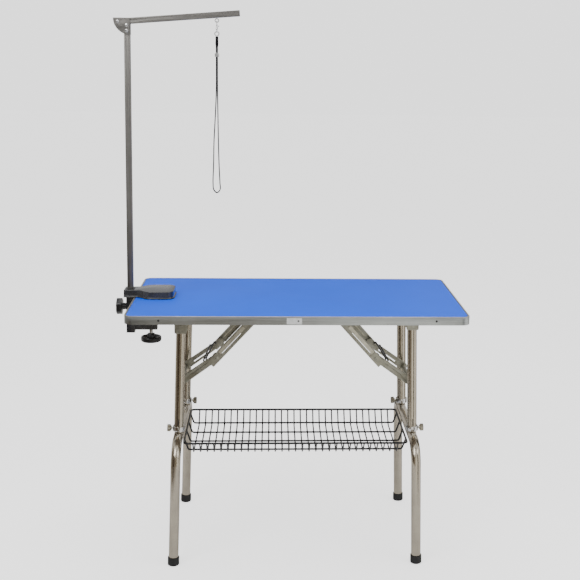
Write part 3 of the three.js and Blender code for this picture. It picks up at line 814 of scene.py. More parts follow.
class GROOMING_OT_leg_frames(PieceOperator, bpy.types.Operator):
    """Make the smooth tubes, collars, thumbscrews and rubber feet of both leg frames"""

    bl_idname = "grooming.leg_frames"
    bl_label = "Leg frames"

    def make(self):
        for end in ENDS:
            line = LegLine(end)
            for row in ROWS:
                self.upper_tube(line, end, row)
                redo(f"collar_{end}_{row}", "chrome", "chromed_hardware", 0.7)
                self.thumbscrew(end, row)
                redo(f"rubber_foot_{end}_{row}", "rubber", "black_rubber", 1.2)
            self.foot_frame(line, end)
            self.cross_tube(end)

    def upper_tube(self, line, end, row):
        node = f"leg_tube_{end}_{row}"
        low, high = low_high(node)
        radius = (high.y - low.y) / 2
        y = (low.y + high.y) / 2
        cap = radius * abs(line.down.x)
        top = line.along_at(high.z - cap)
        bottom = line.along_at(low.z + cap)
        bm = bmesh.new()
        pipe(bm, [line.point(top, y), line.point(bottom, y)], radius, TUBE_WALL, sizes().tube_sides)
        tube = from_bmesh(bm, f"{node}_smooth", finish("tube"))
        settle(tube, f"{end}_leg", "stainless_tube", node)
        self.slit_shade(line, end, row, y, radius, bottom)

    def slit_shade(self, line, end, row, y, radius, bottom):
        """Painted shade for the slit at the tube's clamped end: a thin black strip on its near face
        stands in for the shadow inside the slit.
        """
        bm = bmesh.new()
        half, length, depth = 1.3 * MM, 26 * MM, 0.35 * MM
        in_collar = 17 * MM
        start = bottom - in_collar
        outline = [(start, -half), (start, half), (start - length, half), (start - length, -half)]
        reach = radius + 0.05 * MM
        loft(bm, [
            [line.point(along, y + outwards(row) * lift, out) for along, out in outline]
            for lift in (reach - depth, reach)
        ])
        # the black rubber finish on this strip is painted shade where the slit's shadow falls
        shade_strip = from_bmesh(bm, f"tube_slit_shade_{end}_{row}", finish("rubber"))
        settle(shade_strip, f"{end}_leg", "black_rubber")

    def thumbscrew(self, end, row):
        """A knurled round head on a plain shank."""
        node = f"thumbscrew_{end}_{row}"
        low, high = low_high(node)
        centre = (low + high) / 2
        joint = JOINTS[f"{end}_{row}_thumbscrew_turn"]
        axis = Vector(joint["axis"]).normalized()
        length = (high.x - low.x) - (high.z - low.z) * abs(axis.z)
        radius = (high.y - low.y) / 2
        origin = centre - axis * (length / 2)
        bm = bmesh.new()
        shank = [(0, 0.1 * MM), (3 * MM, 0.1 * MM), (3 * MM, 2.6 * MM), (7 * MM, 3 * MM),
                 (8.2 * MM, 5.2 * MM), (8.2 * MM, 7 * MM), (0, 7 * MM)]
        lathe(bm, origin, axis, shank, 24)
        self.knurl(bm, origin, axis, radius, 6.2 * MM, length - 0.1 * MM)
        head = from_bmesh(bm, f"{node}_knurled", finish("screw"))
        settle(head, f"{end}_{row}_thumbscrew", "chromed_hardware", node)

    def knurl(self, bm, origin, axis, radius, near, far):
        across, up = cross_frame(axis, Vector((0, 1, 0)))
        teeth, groove, inset = 28, 0.5 * MM, 1.3 * MM
        rings = []
        for height, shrink in ((near, inset), (near + inset, 0), (far - inset, 0), (far, inset)):
            ring = []
            for k in range(teeth * 2):
                angle = math.pi * k / teeth
                reach = radius - shrink - (groove if k % 2 else 0)
                ring.append(
                    origin + axis * height + across * (reach * math.cos(angle))
                    + up * (reach * math.sin(angle))
                )
            rings.append(ring)
        loft(bm, rings)

    def foot_frame(self, line, end):
        """The bent tube from foot to foot and its two stubs."""
        node = f"foot_frame_{end}"
        low, high = low_high(node)
        leg_low, leg_high = low_high(f"leg_tube_{end}_front")
        stub_y = abs(leg_low.y + leg_high.y) / 2
        radius = (leg_high.y - leg_low.y) / 2
        foot_y = high.y - radius
        bar_height, bend, straight = 405 * MM, 65 * MM, 60 * MM
        stub_radius, stub_gap = 13.7 * MM, 13 * MM
        bar = line.along_at(0.0) - bar_height
        end_along = line.along_at(low.z + radius * abs(line.down.x))
        down = line.down
        points = [line.point(end_along, -foot_y), line.point(bar + bend + straight, -foot_y)]
        steps = sizes().bend_steps
        centre = line.point(bar + bend, -foot_y + bend)
        points += arc(centre, Vector((0, -bend, 0)), -down * bend, steps)
        centre = line.point(bar + bend, foot_y - bend)
        points += arc(centre, -down * bend, Vector((0, bend, 0)), steps)
        points += [line.point(bar + bend + straight, foot_y), line.point(end_along, foot_y)]
        bm = bmesh.new()
        pipe(bm, points, radius, TUBE_WALL, sizes().tube_sides)
        top = line.along_at(high.z)
        for side in (-1, 1):
            pipe(
                bm, [line.point(top, side * stub_y), line.point(bar - stub_gap, side * stub_y)],
                stub_radius, TUBE_WALL, 32,
            )
            self.weld(bm, line, bar, side * stub_y, radius)
        tube = from_bmesh(bm, f"{node}_smooth", finish("bent"))
        settle(tube, f"{end}_foot", "stainless_tube", node)

    def weld(self, bm, line, bar, y, radius):
        """The bead that joins a stub to the bar: it follows the bar's round top."""
        seam_radius, bead_radius = 14.4 * MM, 1.3 * MM
        points = []
        for out, across in circle(seam_radius, 32):
            rise = math.sqrt(radius ** 2 - out ** 2)
            points.append(line.point(bar - rise, y + across, out))
        bead = circle(bead_radius, 8)
        rings = []
        for i, point in enumerate(points):
            tangent = (points[(i + 1) % len(points)] - points[i - 1]).normalized()
            across, up = cross_frame(tangent, line.down)
            rings.append([point + across * a + up * b for a, b in bead])
        loft(bm, rings, endless=True)

    def cross_tube(self, end):
        node = f"cross_tube_{end}"
        low, high = low_high(node)
        centre = (low + high) / 2
        radius = (high.z - low.z) / 2
        bm = bmesh.new()
        profile = [(0, 0), (radius, 0), (radius, high.y - low.y), (0, high.y - low.y)]
        lathe(bm, Vector((centre.x, low.y, centre.z)), Vector((0, 1, 0)), profile, 40)
        tube = from_bmesh(bm, f"{node}_smooth", finish("zinc"))
        settle(tube, f"{end}_leg", "galvanised_steel", node)


class GROOMING_OT_braces(PieceOperator, bpy.types.Operator):
    """Make the hinge brackets, brace mounts, pressed arms, rivets and release wires"""

    bl_idname = "grooming.braces"
    bl_label = "Braces"

    def make(self):
        for end in ENDS:
            redo(f"brace_mount_{end}", "zinc", "galvanised_steel", 0.5)
            for row in ROWS:
                redo(f"hinge_bracket_{end}_{row}", "zinc", "galvanised_steel", 0.6)
                redo(f"brace_upper_{end}_{row}", "zinc", "galvanised_steel", 0.5)
                self.lower_arm(end, row)
                self.plates(end, row)
            self.link_wires(end)

    def lower_arm(self, end, row):
        """The lower arm, slotted between two rails, with a round ear at the knuckle."""
        node = f"brace_lower_{end}_{row}"
        face, outer = outwards(row), outer_y(node, row)
        foot, knuckle = brace_foot(end), knuckle_at(end)
        length = (knuckle - foot).length
        along = (knuckle - foot).normalized()
        across = Vector((0, 1, 0)).cross(along)
        cutter = self.slot_cutter(row, foot, along, across, length, outer)
        arm = copy_of(node, f"{node}_slotted", finish("zinc"), 0.5, cutter=cutter)
        settle(arm, f"{end}_lower_brace", "galvanised_steel", node)
        bm = bmesh.new()
        past_foot, short_of_knuckle, rail_offset, ear_depth = 30 * MM, 26 * MM, 9.6 * MM, 3.6 * MM
        start, end_at = foot + along * past_foot, foot + along * (length - short_of_knuckle)
        for offset in (-rail_offset, rail_offset):
            self.rail(bm, start, end_at, across, offset, outer, face)
        spot = Vector((knuckle.x, outer - face * ear_depth, knuckle.z))
        ear = [(0, 0), (15.1 * MM, 0), (15.6 * MM, 0.5 * MM), (15.6 * MM, 3 * MM),
               (15.1 * MM, 3.5 * MM), (0, 3.5 * MM)]
        lathe(bm, spot, Vector((0, face, 0)), ear, 40)
        rails = from_bmesh(bm, f"{node}_rails", finish("zinc"))
        settle(rails, f"{end}_lower_brace", "galvanised_steel")
        self.knuckle_rivet(end, row, knuckle, face)

    def slot_cutter(self, row, foot, along, across, length, outer):
        """A front arm gets a narrow groove above its middle, a rear arm a slot below it."""
        near, far = 36 * MM, length - 40 * MM
        above = 1 if across.z > 0 else -1
        if row == "front":
            half, depth, shift = 1.1 * MM, 3.4 * MM, above * 1.7 * MM
        else:
            half, depth, shift = 1.9 * MM, 20 * MM, above * -3.4 * MM
        rings = []
        for y in (outer + outwards(row) * 5 * MM, outer - outwards(row) * depth):
            ring = []
            for centre, start in ((near, 90), (far, -90)):
                for k in range(9):
                    angle = math.radians(start + 180 * k / 8)
                    spot = foot + along * (centre + half * math.cos(angle))
                    spot += across * (shift + half * math.sin(angle))
                    ring.append(Vector((spot.x, y, spot.z)))
            rings.append(ring)
        bm = bmesh.new()
        loft(bm, rings)
        bmesh.ops.recalc_face_normals(bm, faces=bm.faces)
        slot = bpy.data.meshes.new("slot_cut")
        bm.to_mesh(slot)
        bm.free()
        return in_scene("slot_cut", slot)

    def rail(self, bm, start, end, across, offset, outer, face):
        """A low rounded ridge along one edge of an arm."""
        section = [(-1.7, -0.3), (1.7, -0.3), (1.5, 1.1), (0.9, 1.5), (-0.9, 1.5), (-1.5, 1.1)]
        rings = []
        for spot in (start, end):
            ring = []
            for a, b in section:
                place = spot + across * (offset + a * MM)
                ring.append(Vector((place.x, outer + face * b * MM, place.z)))
            rings.append(ring)
        loft(bm, rings)

    def knuckle_rivet(self, end, row, knuckle, face):
        """The domed rivet head on the upper arm's face at the knuckle."""
        spot = Vector((knuckle.x, outer_y(f"brace_upper_{end}_{row}", row), knuckle.z))
        dome = [(0, -0.4 * MM), (5.6 * MM, -0.4 * MM), (5.4 * MM, 0.8 * MM),
                (3.8 * MM, 1.9 * MM), (1.8 * MM, 2.3 * MM), (0, 2.4 * MM)]
        bm = bmesh.new()
        lathe(bm, spot, Vector((0, face, 0)), dome, 24)
        rivet = from_bmesh(bm, f"knuckle_rivet_{end}_{row}", finish("zinc"))
        settle(rivet, f"{end}_upper_brace", "galvanised_steel")

    def link_wires(self, end):
        """The two bent wires that link the lower arms near the knuckles."""
        foot, knuckle = brace_foot(end), knuckle_at(end)
        along = (knuckle - foot).normalized()
        up = upwards(along)
        front_y = low_high(f"brace_lower_{end}_front")[1].y
        rear_y = low_high(f"brace_lower_{end}_rear")[0].y
        lift = up * (9 * MM)
        parts = []
        for i, (near, far) in enumerate(((46 * MM, 30 * MM), (36 * MM, 12 * MM))):
            start = knuckle - along * near + up * (5 * MM)
            stop = knuckle - along * far + up * (6 * MM)
            points = [
                Vector((start.x, front_y - 1 * MM, start.z)),
                Vector((start.x, front_y + 8 * MM, start.z)) + lift,
                Vector((stop.x, rear_y - 8 * MM, stop.z)) + lift,
                Vector((stop.x, rear_y + 1 * MM, stop.z)),
            ]
            path = edge_mesh(f"link_path_{end}_{i}", points)
            parts.append(repeated(
                f"link_{end}_{i}", wire_row(), path, "wire", radius=2.8 * MM, corner=6 * MM, sides=14,
            ))
        settle(joined(f"link_wires_{end}", parts), f"{end}_lower_brace", "black_wire")

    def plates(self, end, row):
        """The flat bar beside the upper arm's slot, and the plate that overlaps the knuckle."""
        joint = Vector(JOINTS[f"{end}_upper_brace_turn"]["pos_m"])
        top, knuckle = Vector((joint.x, 0, joint.z)), knuckle_at(end)
        length = (knuckle - top).length
        along = (knuckle - top).normalized()
        up = upwards(along)
        face, rivet_rise = outwards(row), 2.4 * MM
        web = outer_y(f"brace_upper_{end}_{row}", row) - face * rivet_rise
        covered = -0.8 * MM if row == "front" else -5 * MM
        half = 13.6 * MM
        for name, start, stop, low_edge, high_edge, lift, thick in (
            ("bar", 50 * MM, length - 19 * MM, covered, 11.6 * MM, 1.5 * MM, 1.7 * MM),
            ("zinc", length - 17 * MM, length + 30 * MM, -half, half, 1.7 * MM, 3.9 * MM),
        ):
            outline = [
                top + along * distance + up * edge for distance, edge in (
                    (start, low_edge), (stop, low_edge), (stop, high_edge), (start, high_edge),
                )
            ]
            bm = bmesh.new()
            loft(bm, [
                [Vector((spot.x, y, spot.z)) for spot in outline]
                for y in (web + face * lift, web + face * (lift - thick))
            ])
            plate = bevelled(from_bmesh(bm, f"brace_{name}_plate_{end}_{row}", finish(name)), 0.5)
            settle(plate, f"{end}_upper_brace", "galvanised_steel")


class GROOMING_OT_basket(PieceOperator, bpy.types.Operator):
    """Make the welded wire basket"""

    bl_idname = "grooming.basket"
    bl_label = "Basket"

    def make(self):
        low, high = low_high("basket")
        s = sizes()
        tree = wire_row()
        centre = (low + high) / 2
        rim_half, cross_half = 2.4 * MM, 1.6 * MM
        end_slope, side_slope = 13 * MM, 43 * MM
        rim_corner, wire_corner, overlap = 14 * MM, 8 * MM, 0.8 * MM
        rim_x = (high.x - low.x) / 2 - rim_half
        rim_y = (high.y - low.y) / 2 - rim_half
        rim_z = high.z - rim_half
        floor_z = low.z + cross_half
        floor_x, floor_y = rim_x - end_slope, rim_y - side_slope
        rim = [
            Vector((centre.x + x * rim_x, y * rim_y, rim_z))
            for x, y in ((-1, -1), (1, -1), (1, 1), (-1, 1))
        ]
        parts = [repeated(
            "basket_rim", tree, edge_mesh("rim", rim, closed=True), "wire",
            radius=s.rim_wire, corner=rim_corner, sides=14,
        )]
        first = centre.x - (s.cross_wires - 1) / 2 * s.wire_pitch
        cross = [
            Vector((first, y, z)) for y, z in (
                (-rim_y, rim_z), (-floor_y, floor_z), (floor_y, floor_z), (rim_y, rim_z),
            )
        ]
        parts.append(repeated(
            "basket_cross", tree, edge_mesh("cross", cross), "wire", s.cross_wires,
            (s.wire_pitch, 0, 0), s.cross_wire, wire_corner, 10,
        ))
        bond = s.cross_wire + s.runner_wire - overlap
        drop, inset = rim_z - floor_z, rim_y - floor_y
        slope = math.hypot(drop, inset)
        side_y = floor_y + inset / 9 - bond * drop / slope
        side_z = floor_z + drop / 9 + bond * inset / slope
        places = (
            (-side_y, side_z), (-floor_y / 3, floor_z + bond),
            (floor_y / 3, floor_z + bond), (side_y, side_z),
        )
        for i, (y, low_z) in enumerate(places):
            runner = [
                Vector((centre.x + x, y, z)) for x, z in (
                    (-rim_x, rim_z), (-floor_x, low_z), (floor_x, low_z), (rim_x, rim_z),
                )
            ]
            parts.append(repeated(
                f"basket_runner_{i}", tree, edge_mesh(f"runner_{i}", runner), "wire",
                radius=s.runner_wire, corner=wire_corner, sides=10,
            ))
        settle(joined("basket_wires", parts), "basket", "black_wire", "basket")


class GROOMING_OT_clamp(PieceOperator, bpy.types.Operator):
    """Make the clamp's castings, screw, handwheel and side knob"""

    bl_idname = "grooming.clamp"
    bl_label = "Clamp"

    def make(self):
        redo("clamp_jaw", "casting", "black_casting", 2.2, 4)
        redo("clamp_bracket", "casting", "black_casting", 1.0)
        redo("clamp_pad", "casting", "black_casting", 0.8)
        redo("side_knob", "knob", "black_knob", 1.6, 4)
        self.screw()
        self.handwheel()
        self.knob_cap()

    def screw(self):
        low, high = low_high("clamp_screw")
        centre = (low + high) / 2
        radius = (high.x - low.x) / 2
        root, crest = radius - 0.9 * MM, radius - 0.05 * MM
        length, pitch = high.z - low.z, 3.0 * MM
        profile = [(0, 0), (root, 0)]
        for k in range(int(length / pitch)):
            for reach, share in ((root, 0.3), (crest, 0.5), (crest, 0.62), (root, 0.85)):
                profile.append((reach, k * pitch + share * pitch))
        profile += [(root, length), (0, length)]
        bm = bmesh.new()
        lathe(bm, Vector((centre.x, centre.y, low.z)), Vector((0, 0, 1)), profile, 28)
        screw = from_bmesh(bm, "clamp_screw_threaded", finish("chrome"), 50.0)
        settle(screw, "clamp_screw", "stainless_tube", "clamp_screw")

    def handwheel(self):
        low, high = low_high("handwheel")
        centre = (low + high) / 2
        wheel = (high.x - low.x) / 2
        profile = [
            (0, 2.5), (10, 2), (13, 0.6), (22, 0.3), (28, 0), (31, 0.5), (33.6, 2.2), (34.7, 5),
            (35, 8), (35, 13), (34.6, 15.5), (33.5, 17.3), (31.5, 18), (29.5, 17.6), (28, 16),
            (27, 13.2), (25.5, 12), (16, 10.6), (14.4, 11.6), (13.7, 14), (13, 26.4), (12.2, 27.7),
            (11, 28), (6.9, 28), (6.9, 12), (0, 12),
        ]
        scale = wheel / 35
        bm = bmesh.new()
        lathe(
            bm, Vector((centre.x, centre.y, low.z)), Vector((0, 0, 1)),
            [(radius * scale, height * MM) for radius, height in profile], 64,
        )
        handwheel = from_bmesh(bm, "handwheel_fine", finish("knob"), 40.0)
        settle(handwheel, "clamp_screw", "black_knob", "handwheel")

    def knob_cap(self):
        """The pale disc in the middle of the side knob's face."""
        low, high = low_high("side_knob")
        centre = (low + high) / 2
        bm = bmesh.new()
        cap = [(0, -1.0 * MM), (5.5 * MM, -1.0 * MM), (5.5 * MM, 0.4 * MM),
               (4.6 * MM, 0.9 * MM), (0, 1.1 * MM)]
        lathe(bm, Vector((low.x, centre.y, centre.z)), Vector((-1, 0, 0)), cap, 28)
        settle(from_bmesh(bm, "side_knob_cap", finish("chrome")), "side_knob", "chromed_hardware")


class GROOMING_OT_post_and_arm(PieceOperator, bpy.types.Operator):
    """Make the post, the head plates, the arm and its plug"""

    bl_idname = "grooming.post_and_arm"
    bl_label = "Post and arm"

    def make(self):
        redo("post", "post", "stainless_tube", 0.5)
        redo("arm", "arm", "stainless_tube", 0.5)
        redo("head_plate_front", "arm", "stainless_tube", 0.4)
        redo("head_plate_rear", "arm", "stainless_tube", 0.4)
        redo("arm_pivot", "chrome", "chromed_hardware", 0.5)
        redo("head_rivet", "chrome", "chromed_hardware", 0.5)
        self.upper_rivet()
        self.arm_plug()

    def upper_rivet(self):
        """A second fixing rivet's heads, above the first."""
        low, high = low_high("head_rivet")
        spacing, head_height = 18 * MM, 2 * MM
        x = (low.x + high.x) / 2
        z = (low.z + high.z) / 2 + spacing
        bm = bmesh.new()
        radius = (high.z - low.z) / 2
        for y, way in ((low.y + head_height, -1), (high.y - head_height, 1)):
            dome = [(0, -0.2 * MM), (radius, -0.2 * MM), (radius, 0.8 * MM),
                    (0.7 * radius, 1.6 * MM), (0, 1.9 * MM)]
            lathe(bm, Vector((x, y, z)), Vector((0, way, 0)), dome, 24)
        settle(from_bmesh(bm, "head_rivet_upper", finish("chrome")), "post", "chromed_hardware")

    def arm_plug(self):
        """The black plug in the arm's open end."""
        pivot = Vector(JOINTS["arm_fold"]["pos_m"])
        end_x = low_high("arm")[1].x
        along = Vector((math.cos(ARM_TILT), 0, math.sin(ARM_TILT)))
        across = Vector((0, 1, 0))
        up = along.cross(across) * -1
        arm_half = 10 * MM
        reach = (end_x - pivot.x - arm_half * math.sin(ARM_TILT)) / math.cos(ARM_TILT)
        neck, cap = 8.2 * MM, 9.9 * MM
        rings = []
        for past_end, half in ((-6 * MM, neck), (0.1 * MM, neck), (0.1 * MM, cap), (1.6 * MM, cap)):
            centre = pivot + along * (reach + past_end)
            rings.append([
                centre + across * (a * half) + up * (b * half)
                for a, b in ((-1, -1), (1, -1), (1, 1), (-1, 1))
            ])
        bm = bmesh.new()
        loft(bm, rings)
        plug = from_bmesh(bm, "arm_plug", finish("knob"))
        settle(bevelled(plug, 0.5), "arm", "black_knob")


# The loop's route, as offsets in millimetres from the ring's middle and heights from the floor.
LOOP_ROUTE = (
    (-1.7, 1672), (-1.75, 1640), (-2, 1545), (-6.5, 1440), (-9.6, 1382), (-11.2, 1300),
    (-13, 1236), (-10.5, 1216), (0, 1206), (10.5, 1216), (10, 1240), (7.6, 1290), (5.4, 1359),
    (4, 1430), (3, 1490), (2, 1545), (1.75, 1640), (1.7, 1672),
)


def smooth_route(points, steps):
    """A centripetal curve through points, as evenly spaced as its pieces allow."""
    padded = [points[0] * 2 - points[1], *points, points[-1] * 2 - points[-2]]
    route = []
    for i in range(1, len(padded) - 2):
        p0, p1, p2, p3 = padded[i - 1:i + 3]
        t0 = 0.0
        t1 = t0 + math.sqrt((p1 - p0).length)
        t2 = t1 + math.sqrt((p2 - p1).length)
        t3 = t2 + math.sqrt((p3 - p2).length)
        for k in range(steps):
            t = t1 + (t2 - t1) * k / steps
            a1 = p0 * ((t1 - t) / (t1 - t0)) + p1 * ((t - t0) / (t1 - t0))
            a2 = p1 * ((t2 - t) / (t2 - t1)) + p2 * ((t - t1) / (t2 - t1))
            a3 = p2 * ((t3 - t) / (t3 - t2)) + p3 * ((t - t2) / (t3 - t2))
            b1 = a1 * ((t2 - t) / (t2 - t0)) + a2 * ((t - t0) / (t2 - t0))
            b2 = a2 * ((t3 - t) / (t3 - t1)) + a3 * ((t - t1) / (t3 - t1))
            route.append(b1 * ((t2 - t) / (t2 - t1)) + b2 * ((t - t1) / (t2 - t1)))
    route.append(points[-1])
    return route


def strap_section(width, thickness):
    """A flat section with rounded edges, as (across the width, through the thickness)."""
    half, edge = width / 2, thickness / 2
    points = []
    for centre, start in ((half - edge, -90), (-half + edge, 90)):
        for k in range(5):
            angle = math.radians(start + 45 * k)
            points.append((centre + edge * math.cos(angle), edge * math.sin(angle)))
    return points


class GROOMING_OT_noose(PieceOperator, bpy.types.Operator):
    """Make the hanging noose: eye, snap, swivel, ring, strap and slider"""

    bl_idname = "grooming.noose"
    bl_label = "Noose"

    def make(self):
        redo("arm_eye", "chrome", "chromed_hardware", 0)
        redo("snap_hook", "chrome", "chromed_hardware", 0)
        redo("swivel_eye", "chrome", "chromed_hardware", 0)
        redo("noose_ring", "chrome", "chromed_hardware", 0)
        redo("noose_slider", "chrome", "chromed_hardware", 0.5)
        self.trigger()
        self.loop()
        self.stem()

    def trigger(self):
        """The snap's thumb piece."""
        low, high = low_high("snap_hook")
        centre = (low + high) / 2
        bm = bmesh.new()
        profile = [(0, 0), (1.3 * MM, 0), (1.5 * MM, 0.6 * MM), (1.5 * MM, 3.4 * MM),
                   (2.1 * MM, 4 * MM), (2.1 * MM, 5 * MM), (1.4 * MM, 5.6 * MM), (0, 5.6 * MM)]
        beside, above = 1.5 * MM, 9 * MM
        origin = Vector((centre.x + beside, centre.y, low.z + above))
        lathe(bm, origin, Vector((1, 0, 0.35)), profile, 20)
        settle(from_bmesh(bm, "snap_trigger", finish("chrome")), "snap", "chromed_hardware")

    def strap(self, name, points, hints):
        s = sizes()
        bm = bmesh.new()
        layer = bm.loops.layers.uv.new("strap")
        section = strap_section(s.strap_width, s.strap_thickness)
        sweep(bm, points, section, hints, uv=layer)
        return from_bmesh(bm, name, finish("nylon"), 50.0)

    def loop(self):
        ring = middle("noose_ring")
        points = [Vector((ring.x + x * MM, 0, z * MM)) for x, z in LOOP_ROUTE]
        route = smooth_route(points, 12)
        across = Vector((0, 1, 0))
        piece = self.strap("noose_loop_webbing", route, [across] * len(route))
        settle(piece, "noose", "black_nylon", "noose_loop")

    def stem(self):
        """The doubled strap from the ring down to the slider, turning a quarter on its way."""
        low, high = low_high("noose_stem")
        x = (low.x + high.x) / 2
        s = sizes()
        layer_gap = 0.15 * MM
        steps = 28
        bm = bmesh.new()
        layer = bm.loops.layers.uv.new("strap")
        section = strap_section(s.strap_width - 0.4 * MM, s.strap_thickness - 0.1 * MM)
        for side in (-1, 1):
            points, hints = [], []
            for k in range(steps + 1):
                t = k / steps
                turn = math.pi / 2 * (1 - min(max((t - 0.25) / 0.4, 0), 1))
                across = Vector((math.sin(turn), math.cos(turn), 0))
                through = Vector((math.cos(turn), -math.sin(turn), 0))
                offset = side * (s.strap_thickness / 2 + layer_gap)
                z = high.z + (low.z - high.z) * t
                points.append(Vector((x, 0, z)) + through * offset)
                hints.append(across)
            sweep(bm, points, section, hints, uv=layer)
        piece = from_bmesh(bm, "noose_stem_webbing", finish("nylon"), 50.0)
        settle(piece, "noose", "black_nylon", "noose_stem")


# Standing cards around the table: where each starts and ends in degrees, its tint and its glow.
CARDS = (
    (176, 206, (0.5, 0.46, 0.4), 0.5), (206, 224, (0.36, 0.25, 0.15), 0.35),
    (224, 236, (0.1, 0.07, 0.04), 0.2), (236, 262, (0.62, 0.55, 0.45), 0.6),
    (262, 276, (0.4, 0.32, 0.22), 0.5), (276, 312, (1.0, 0.97, 0.9), 1.25),
    (312, 326, (0.12, 0.09, 0.06), 0.2), (326, 362, (1.0, 0.98, 0.95), 1.3),
    (2, 26, (0.4, 0.33, 0.25), 0.4), (26, 62, (0.9, 0.88, 0.84), 1.0),
    (62, 84, (0.2, 0.16, 0.11), 0.3), (84, 122, (0.85, 0.82, 0.78), 0.9),
    (122, 146, (0.3, 0.24, 0.17), 0.35), (146, 176, (0.9, 0.88, 0.85), 1.0),
)


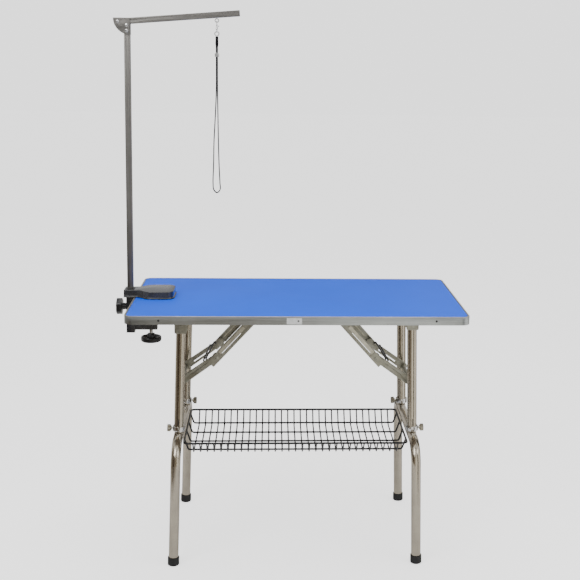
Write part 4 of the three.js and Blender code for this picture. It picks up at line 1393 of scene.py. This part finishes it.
class GROOMING_OT_stage(PieceOperator, bpy.types.Operator):
    """Make the pale floor, the soft studio light and the camera"""

    bl_idname = "grooming.stage"
    bl_label = "Stage"

    def make(self):
        self.floor()
        self.reflectors()
        self.world()
        self.lights()
        self.camera()

    def floor(self):
        material, tree = new_material("pale_floor")
        vector = mapped(tree, (1, 1, 1))
        tint, fac = mottled(tree, vector, 1.2, 2.0, (0.86, 0.86, 0.86, 1), (0.89, 0.89, 0.89, 1))
        seen = tree.add("ShaderNodeLightPath").outputs["Is Camera Ray"]
        glow = tree.add("ShaderNodeMath", {0: seen, 1: 1.42}, operation="MULTIPLY")
        shader = tree.add("ShaderNodeBsdfPrincipled", {
            "Base Color": tint, "Roughness": ranged(tree, fac, 0.7, 0.8),
            "Emission Color": (1, 1, 1, 1), "Emission Strength": glow.outputs[0],
        })
        output = tree.add("ShaderNodeOutputMaterial")
        tree.link(shader.outputs["BSDF"], output.inputs["Surface"])
        mesh = bpy.data.meshes.new("floor")
        reach = 30.0
        mesh.from_pydata(
            [(-reach, -reach, 0), (reach, -reach, 0), (reach, reach, 0), (-reach, reach, 0)],
            [], [(0, 1, 2, 3)],
        )
        mesh.materials.append(material)
        in_scene("floor", mesh)

    def reflectors(self):
        """A ring of standing cards that only polished metal mirrors, as dark and pale bands."""
        reach, foot, top = 1.15, 0.01, 0.8
        for i, (start, end, tone, glow) in enumerate(CARDS):
            material, tree = new_material(f"card_{i}")
            shader = tree.add("ShaderNodeEmission", {"Color": (*tone, 1.0), "Strength": glow})
            output = tree.add("ShaderNodeOutputMaterial")
            tree.link(shader.outputs["Emission"], output.inputs["Surface"])
            (ax, ay), (bx, by) = [
                (reach * math.cos(math.radians(turn)), reach * math.sin(math.radians(turn)))
                for turn in (start, end)
            ]
            mesh = bpy.data.meshes.new(f"card_{i}")
            mesh.from_pydata(
                [(ax, ay, foot), (bx, by, foot), (bx, by, top), (ax, ay, top)],
                [], [(0, 1, 2, 3)],
            )
            mesh.materials.append(material)
            card = in_scene(f"card_{i}", mesh)
            card.visible_camera = False
            card.visible_diffuse = False
            card.visible_shadow = False

    def world(self):
        """A white room with soft darker panels, which the steel mirrors as bands."""
        world = bpy.data.worlds.new("studio")
        world.use_nodes = True
        world.node_tree.nodes.clear()
        tree = Tree(world.node_tree)
        vector = tree.add("ShaderNodeTexCoord").outputs["Generated"]
        mapping = tree.add("ShaderNodeMapping", {"Vector": vector, "Scale": (1.0, 1.0, 0.22)})
        panels = tree.add("ShaderNodeTexNoise", {
            "Vector": mapping.outputs["Vector"], "Scale": 4.2, "Detail": 0.5,
        })
        spread = tree.add("ShaderNodeMapRange", {
            "Value": panels.outputs["Fac"], "From Min": 0.36, "From Max": 0.64,
            "To Min": 0.05, "To Max": 1.35,
        })
        seen = tree.add("ShaderNodeLightPath").outputs["Is Camera Ray"]
        strength = tree.add("ShaderNodeMix", {"Factor": seen, "A": spread.outputs["Result"]})
        strength.inputs["B"].default_value = 2.4
        background = tree.add("ShaderNodeBackground", {"Strength": strength.outputs["Result"]})
        output = tree.add("ShaderNodeOutputWorld")
        tree.link(background.outputs["Background"], output.inputs["Surface"])
        bpy.context.scene.world = world

    def lights(self):
        for name, place, size, power in (
            ("key", (-1.8, -2.6, 3.4), 2.2, 70.0),
            ("fill", (2.6, -2.0, 2.2), 2.0, 30.0),
            ("top", (0.2, 0.4, 3.8), 2.6, 40.0),
        ):
            lamp = bpy.data.lights.new(name, "AREA")
            lamp.energy = power
            lamp.size = size
            holder = in_scene(name, lamp)
            holder.location = place
            aim = Vector((0, 0, 0.8)) - Vector(place)
            holder.rotation_euler = aim.to_track_quat("-Z", "Y").to_euler()

    def camera(self):
        lens = bpy.data.cameras.new("camera")
        lens.sensor_width = 36.0
        lens.lens = 65.64
        lens.shift_x = -0.067
        lens.shift_y = -0.111
        lens.clip_end = 100.0
        camera = in_scene("camera", lens)
        pitch, yaw, roll = 0.154, 0.055, 0.016
        forward = Vector((
            math.sin(yaw) * math.cos(pitch), math.cos(yaw) * math.cos(pitch), -math.sin(pitch),
        ))
        level = Vector((math.cos(yaw), -math.sin(yaw), 0))
        lift = level.cross(forward)
        right = level * math.cos(roll) + lift * math.sin(roll)
        up = lift * math.cos(roll) - level * math.sin(roll)
        turn = Matrix((right, up, -forward)).transposed()
        place = Matrix.Translation((-0.057, -3.557, 1.649))
        camera.matrix_world = place @ turn.to_4x4()
        bpy.context.scene.camera = camera


class GROOMING_PT_panel(bpy.types.Panel):
    """Lists the pieces that can be made"""

    bl_label = "Grooming table"
    bl_idname = "GROOMING_PT_panel"
    bl_space_type = "VIEW_3D"
    bl_region_type = "UI"
    bl_category = "Grooming"

    def draw(self, context):
        for operator in STEPS:
            self.layout.operator(operator.bl_idname)


STEPS = (
    GROOMING_OT_stage, GROOMING_OT_noose, GROOMING_OT_top, GROOMING_OT_leg_frames,
    GROOMING_OT_braces, GROOMING_OT_basket, GROOMING_OT_clamp, GROOMING_OT_post_and_arm,
)
CLASSES = (GroomingColours, GroomingSizes, *STEPS, GROOMING_PT_panel)


def register():
    for item in CLASSES:
        bpy.utils.register_class(item)
    bpy.types.Scene.grooming_colours = PointerProperty(type=GroomingColours)
    bpy.types.Scene.grooming_sizes = PointerProperty(type=GroomingSizes)


def unregister():
    del bpy.types.Scene.grooming_colours
    del bpy.types.Scene.grooming_sizes
    for item in reversed(CLASSES):
        bpy.utils.unregister_class(item)


def corners(box):
    return [[float(value) for value in corner] for corner in box]


def main():
    register()
    for operator in STEPS:
        category, name = operator.bl_idname.split(".")
        getattr(getattr(bpy.ops, category), name)()


if __name__ == "__main__":
    main()
